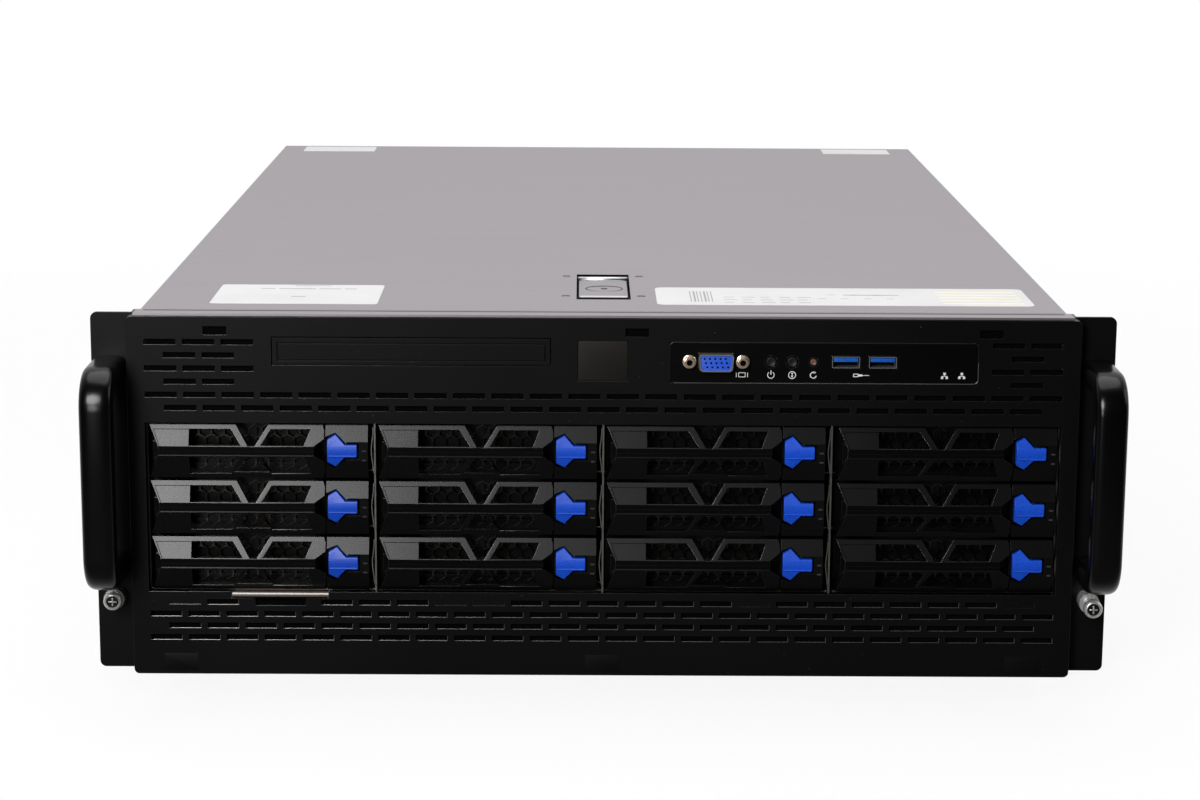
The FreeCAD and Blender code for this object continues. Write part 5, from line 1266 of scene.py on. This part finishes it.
class SERVER_OT_board(bpy.types.Operator):
    """Fits the main board with slots, coolers, chips, capacitors and sockets, and caps the fans"""

    bl_idname = "server.board"
    bl_label = "Board and fan fittings"

    def execute(self, context):
        x, y, foot = span("mainboard")[0]
        shell = Shell()
        for fit in (self.slots, self.modules, self.scatter):
            fit(shell, x, y, foot + BOARD_TOP)
        finishes = ["chip_black", "dark_recess", "fin_aluminium", "print_white"]
        seat("board_fittings", shell, "chassis", finishes, "board_green")
        profile = ((17.0, 0.4), (17.0, -0.1), (15.8, -0.25), (9.0, -0.25), (8.6, -0.1), (2.3, -0.1))
        for node in ("fan_rotor_1", "fan_rotor_2", "fan_rotor_3"):
            low, high = span(node)
            across, _, up = (low + high) / 2
            cap = Shell().add(turned(profile, (across, low[1], up), "y", 36))
            seat(f"{node}_cap", cap, node, ["badge_dark"], "fan_black")
        return {"FINISHED"}

    def slots(self, shell, x, y, top):
        """Six long card slots in line with the rear openings with grooves in painted shade, a chip cooler
        with fins, and power sockets with holes in painted shade.
        """
        shifts = spread(x + 185 + CARD_PITCH * np.arange(6), y + 205, 0)
        levels = [(top - 0.2, 0), (top + 10.6, 0), (top + 11.2, 0.5)]
        shell.add(repeated(stacked(rectangle(-3.7, 3.7, 0, 89), "xyz", levels), shifts))
        shell.add(repeated(plate(rectangle(-0.8, 0.8, 2, 87), "xyz", top + 10, top + 11.3), shifts), 1)
        shell.lying(rectangle(x + 70, x + 112, y + 215, y + 257), top - 0.2, top + 4, 2)
        fin = plate(rectangle(-0.5, 0.5, 0, 42), "xyz", top + 3, top + 20)
        shell.add(repeated(fin, spread(x + 71.5 + 4.3 * np.arange(10), y + 215, 0)), 2)
        hole = plate(oblong(0, 0, 1.5, 1.5, 0.4, 2), "xyz", top + 12, top + 12.6)
        for start, count in ((y + 70, 12), (y + 30, 4), (y + 145, 4)):
            shell.lying(rectangle(x + 4, x + 14, start, start + 4.2 * count), top - 0.2, top + 12.5, 3)
            k, side = np.meshgrid(np.arange(count), np.arange(2))
            shell.add(repeated(hole, spread(x + 6.6 + 4.6 * side, start + 2.1 + 4.2 * k, 0)), 1)

    def modules(self, shell, x, y, top):
        """A socket under each memory module, with a clip at both its ends and a row of chips on its side."""
        chip = plate(rectangle(0, 11, 0, 12), "yzx", -2.3, 2.3)
        for middle in (x + 95, x + 225):
            for away in (-51.5, 51.5, -60.9, 60.9):
                centre = middle + away
                shell.lying(rectangle(centre - 3, centre + 3, y + 31, y + 173), top - 0.2, top + 6)
                for end in (y + 31, y + 169):
                    clip = rectangle(centre - 2.4, centre + 2.4, end, end + 4)
                    shell.add(stacked(clip, "xyz", [(top + 5, 0), (top + 17, 0), (top + 19, 0.8)]), 3)
                shell.add(repeated(chip, spread(centre, y + 44 + 16.5 * np.arange(8), top + 15)))

    def scatter(self, shell, x, y, top):
        """Capacitors along the front, and chips and small parts at fixed strides over the board."""
        can = ((3.8, -0.2), (3.8, 0.6), (3.5, 1.0), (3.8, 1.4), (3.8, 10.4), (3.5, 11.0), (0.3, 11.2))
        k = np.arange(15)
        spots = spread(x + 22 + 19 * k, y + 14 + 7 * (k % 2), 0)
        shell.add(repeated(turned(can, (0, 0, top), "z", 14), spots), 2)
        chip = plate(oblong(0, 0, 7.0, 7.0), "xyz", top - 0.1, top + 1.5, 0.2)
        k = np.arange(14)
        shell.add(repeated(chip, spread(x + 24 + (61.7 * k) % 140, y + 195 + (47.3 * k) % 110, 0)))
        part = plate(oblong(0, 0, 1.0, 0.55), "xyz", top - 0.1, top + 0.8)
        k = np.arange(240)
        shell.add(repeated(part, spread(x + 8 + (37.73 * k) % 288, y + 6 + (61.37 * k) % 308, 0)), 3)


class SERVER_OT_fasteners(bpy.types.Operator):
    """Sets screws along the sides of the case and at the corners of its rear wall"""

    bl_idname = "server.fasteners"
    bl_label = "Case screws"

    def execute(self, context):
        low, high = span("top_cover")
        shell = Shell()
        for way, x in ((-1, low[0]), (1, high[0])):
            for y in np.linspace(low[1] + 40, high[1] - 40, 5):
                for z in (18.0, 148.0):
                    shell.add(pan_head((x, y, z), "x", 3.0, way))
        for x in (-205.0, -120.0, 50.0, 208.0):
            for z in (128.0, 152.0):
                shell.add(pan_head((x, high[1], z), "y", 2.8))
        seat("case_screws", shell, "chassis", ["screw_steel"], "screw_steel", smooth=50.0)
        return {"FINISHED"}


class SERVER_OT_stage(bpy.types.Operator):
    """Sets up the floor, the lights and the camera"""

    bl_idname = "server.stage"
    bl_label = "Stage"

    def execute(self, context):
        look = context.scene.server_stage
        self.floor(look)
        self.lights(look)
        self.world(context.scene)
        self.camera(context.scene, look)
        return {"FINISHED"}

    def floor(self, look):
        """A pale disc just under the server that fades out into the white room."""
        made = Finish("floor_pale", tuple(look.floor), 0.7, specular=0.2)
        made.tint(made.noise(2.0, 3.0), 0.98)
        away = made.node("ShaderNodeVectorMath", {"operation": "LENGTH"}, {0: made.place}, "Value")
        made.put("Alpha", 0.07 * (1 - made.sharpen(away, 0.45, 1.2)))
        data = Shell().lying(disc(0, 0, 1600, 64), -20, -0.2).mesh("floor")
        data.materials.append(made.material)
        floor = bpy.data.objects.new("floor", data)
        bpy.context.scene.collection.objects.link(floor)

    def lights(self, look):
        """Soft lamps: one at the front left, one overhead, a small low one and a weak one from the right."""
        lamps = (("key", (-0.62, -1.83, 0.9), (-0.2, -0.33, 0.1), 0.7, 0.8, look.key),
                 ("top", (0.0, 0.1, 2.3), (0.0, 0.0, 0.0), 2.6, 2.2, look.key * 1.25),
                 ("low", (-0.55, -1.83, 0.25), (-0.2, -0.33, 0.16), 0.35, 0.35, look.key * 0.13),
                 ("side", (2.2, -0.4, 1.2), (0.0, 0.0, 0.1), 1.2, 1.2, look.key * 0.2))
        for name, spot, aim, wide, high, power in lamps:
            lamp = bpy.data.lights.new(name, "AREA")
            lamp.shape = "ELLIPSE"
            lamp.size, lamp.size_y, lamp.energy = wide, high, power
            holder = bpy.data.objects.new(name, lamp)
            bpy.context.scene.collection.objects.link(holder)
            holder.rotation_euler = (Vector(aim) - Vector(spot)).to_track_quat("-Z", "Y").to_euler()
            holder.location = spot

    def world(self, scene):
        """A pale room, white where the camera looks and dimmer on the side that the front reflects."""
        world = bpy.data.worlds.new("room")
        world.use_nodes = True
        tree = world.node_tree
        shade = tree.nodes["Background"]
        place, parts, ramp, path, pick = (tree.nodes.new(f"ShaderNode{kind}") for kind in
                                          ("TexCoord", "SeparateXYZ", "MapRange", "LightPath", "Mix"))
        for socket, amount in (("From Min", -0.3), ("From Max", 0.6), ("To Min", 0.02), ("To Max", 0.9)):
            ramp.inputs[socket].default_value = amount
        pick.inputs["B"].default_value = 1.0
        shade.inputs["Color"].default_value = (1.0, 1.0, 1.0, 1.0)
        for start, end in ((place.outputs["Generated"], parts.inputs[0]),
                           (parts.outputs["Y"], ramp.inputs["Value"]),
                           (path.outputs["Is Camera Ray"], pick.inputs["Factor"]),
                           (ramp.outputs[0], pick.inputs["A"]),
                           (pick.outputs[0], shade.inputs["Strength"])):
            tree.links.new(start, end)
        scene.world = world
        scene.view_settings.view_transform = "Standard"

    def camera(self, scene, look):
        """A camera whose axes follow from its pitch, yaw and roll."""
        pitch, yaw, roll = look.pitch, look.yaw, look.roll
        reach = math.cos(pitch)
        ahead = np.array([math.sin(yaw) * reach, math.cos(yaw) * reach, -math.sin(pitch)])
        level = np.array([math.cos(yaw), -math.sin(yaw), 0.0])
        upward = np.cross(level, ahead)
        right = math.cos(roll) * level + math.sin(roll) * upward
        top = math.cos(roll) * upward - math.sin(roll) * level
        data = bpy.data.cameras.new("camera")
        data.lens = look.lens
        data.sensor_width = 36.0
        holder = bpy.data.objects.new("camera", data)
        scene.collection.objects.link(holder)
        turn = Matrix(np.stack([right, top, -ahead], 1).tolist()).to_4x4()
        holder.matrix_world = Matrix.Translation(look.stand) @ turn
        scene.camera = holder


class SERVER_PT_panel(bpy.types.Panel):
    """Lists the server's pieces, sizes and colours"""

    bl_idname = "SERVER_PT_panel"
    bl_label = "Rack server"
    bl_space_type = "VIEW_3D"
    bl_region_type = "UI"
    bl_category = "Server"

    def draw(self, context):
        for group in (context.scene.server_tones, context.scene.server_details, context.scene.server_stage):
            for name in group.__annotations__:
                self.layout.prop(group, name)
        for step in STEPS:
            self.layout.operator(step.bl_idname)


GROUPS = {"server_tones": ServerTones, "server_details": ServerDetails, "server_stage": ServerStage}
STEPS = (SERVER_OT_solids, SERVER_OT_carriers, SERVER_OT_handles, SERVER_OT_screws, SERVER_OT_ports,
         SERVER_OT_buttons, SERVER_OT_marks, SERVER_OT_cover_trim, SERVER_OT_bezel_trim, SERVER_OT_rear,
         SERVER_OT_supplies, SERVER_OT_board, SERVER_OT_fasteners, SERVER_OT_stage)


def register():
    for kind in (*GROUPS.values(), *STEPS, SERVER_PT_panel):
        bpy.utils.register_class(kind)
    for name, kind in GROUPS.items():
        setattr(bpy.types.Scene, name, PointerProperty(type=kind))


def unregister():
    for name in GROUPS:
        delattr(bpy.types.Scene, name)
    for kind in (*GROUPS.values(), *STEPS, SERVER_PT_panel):
        bpy.utils.unregister_class(kind)


def main():
    """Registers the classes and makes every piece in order."""
    register()
    for step in STEPS:
        group, name = step.bl_idname.split(".")
        getattr(getattr(bpy.ops, group), name)()


if __name__ == "__main__":
    main()
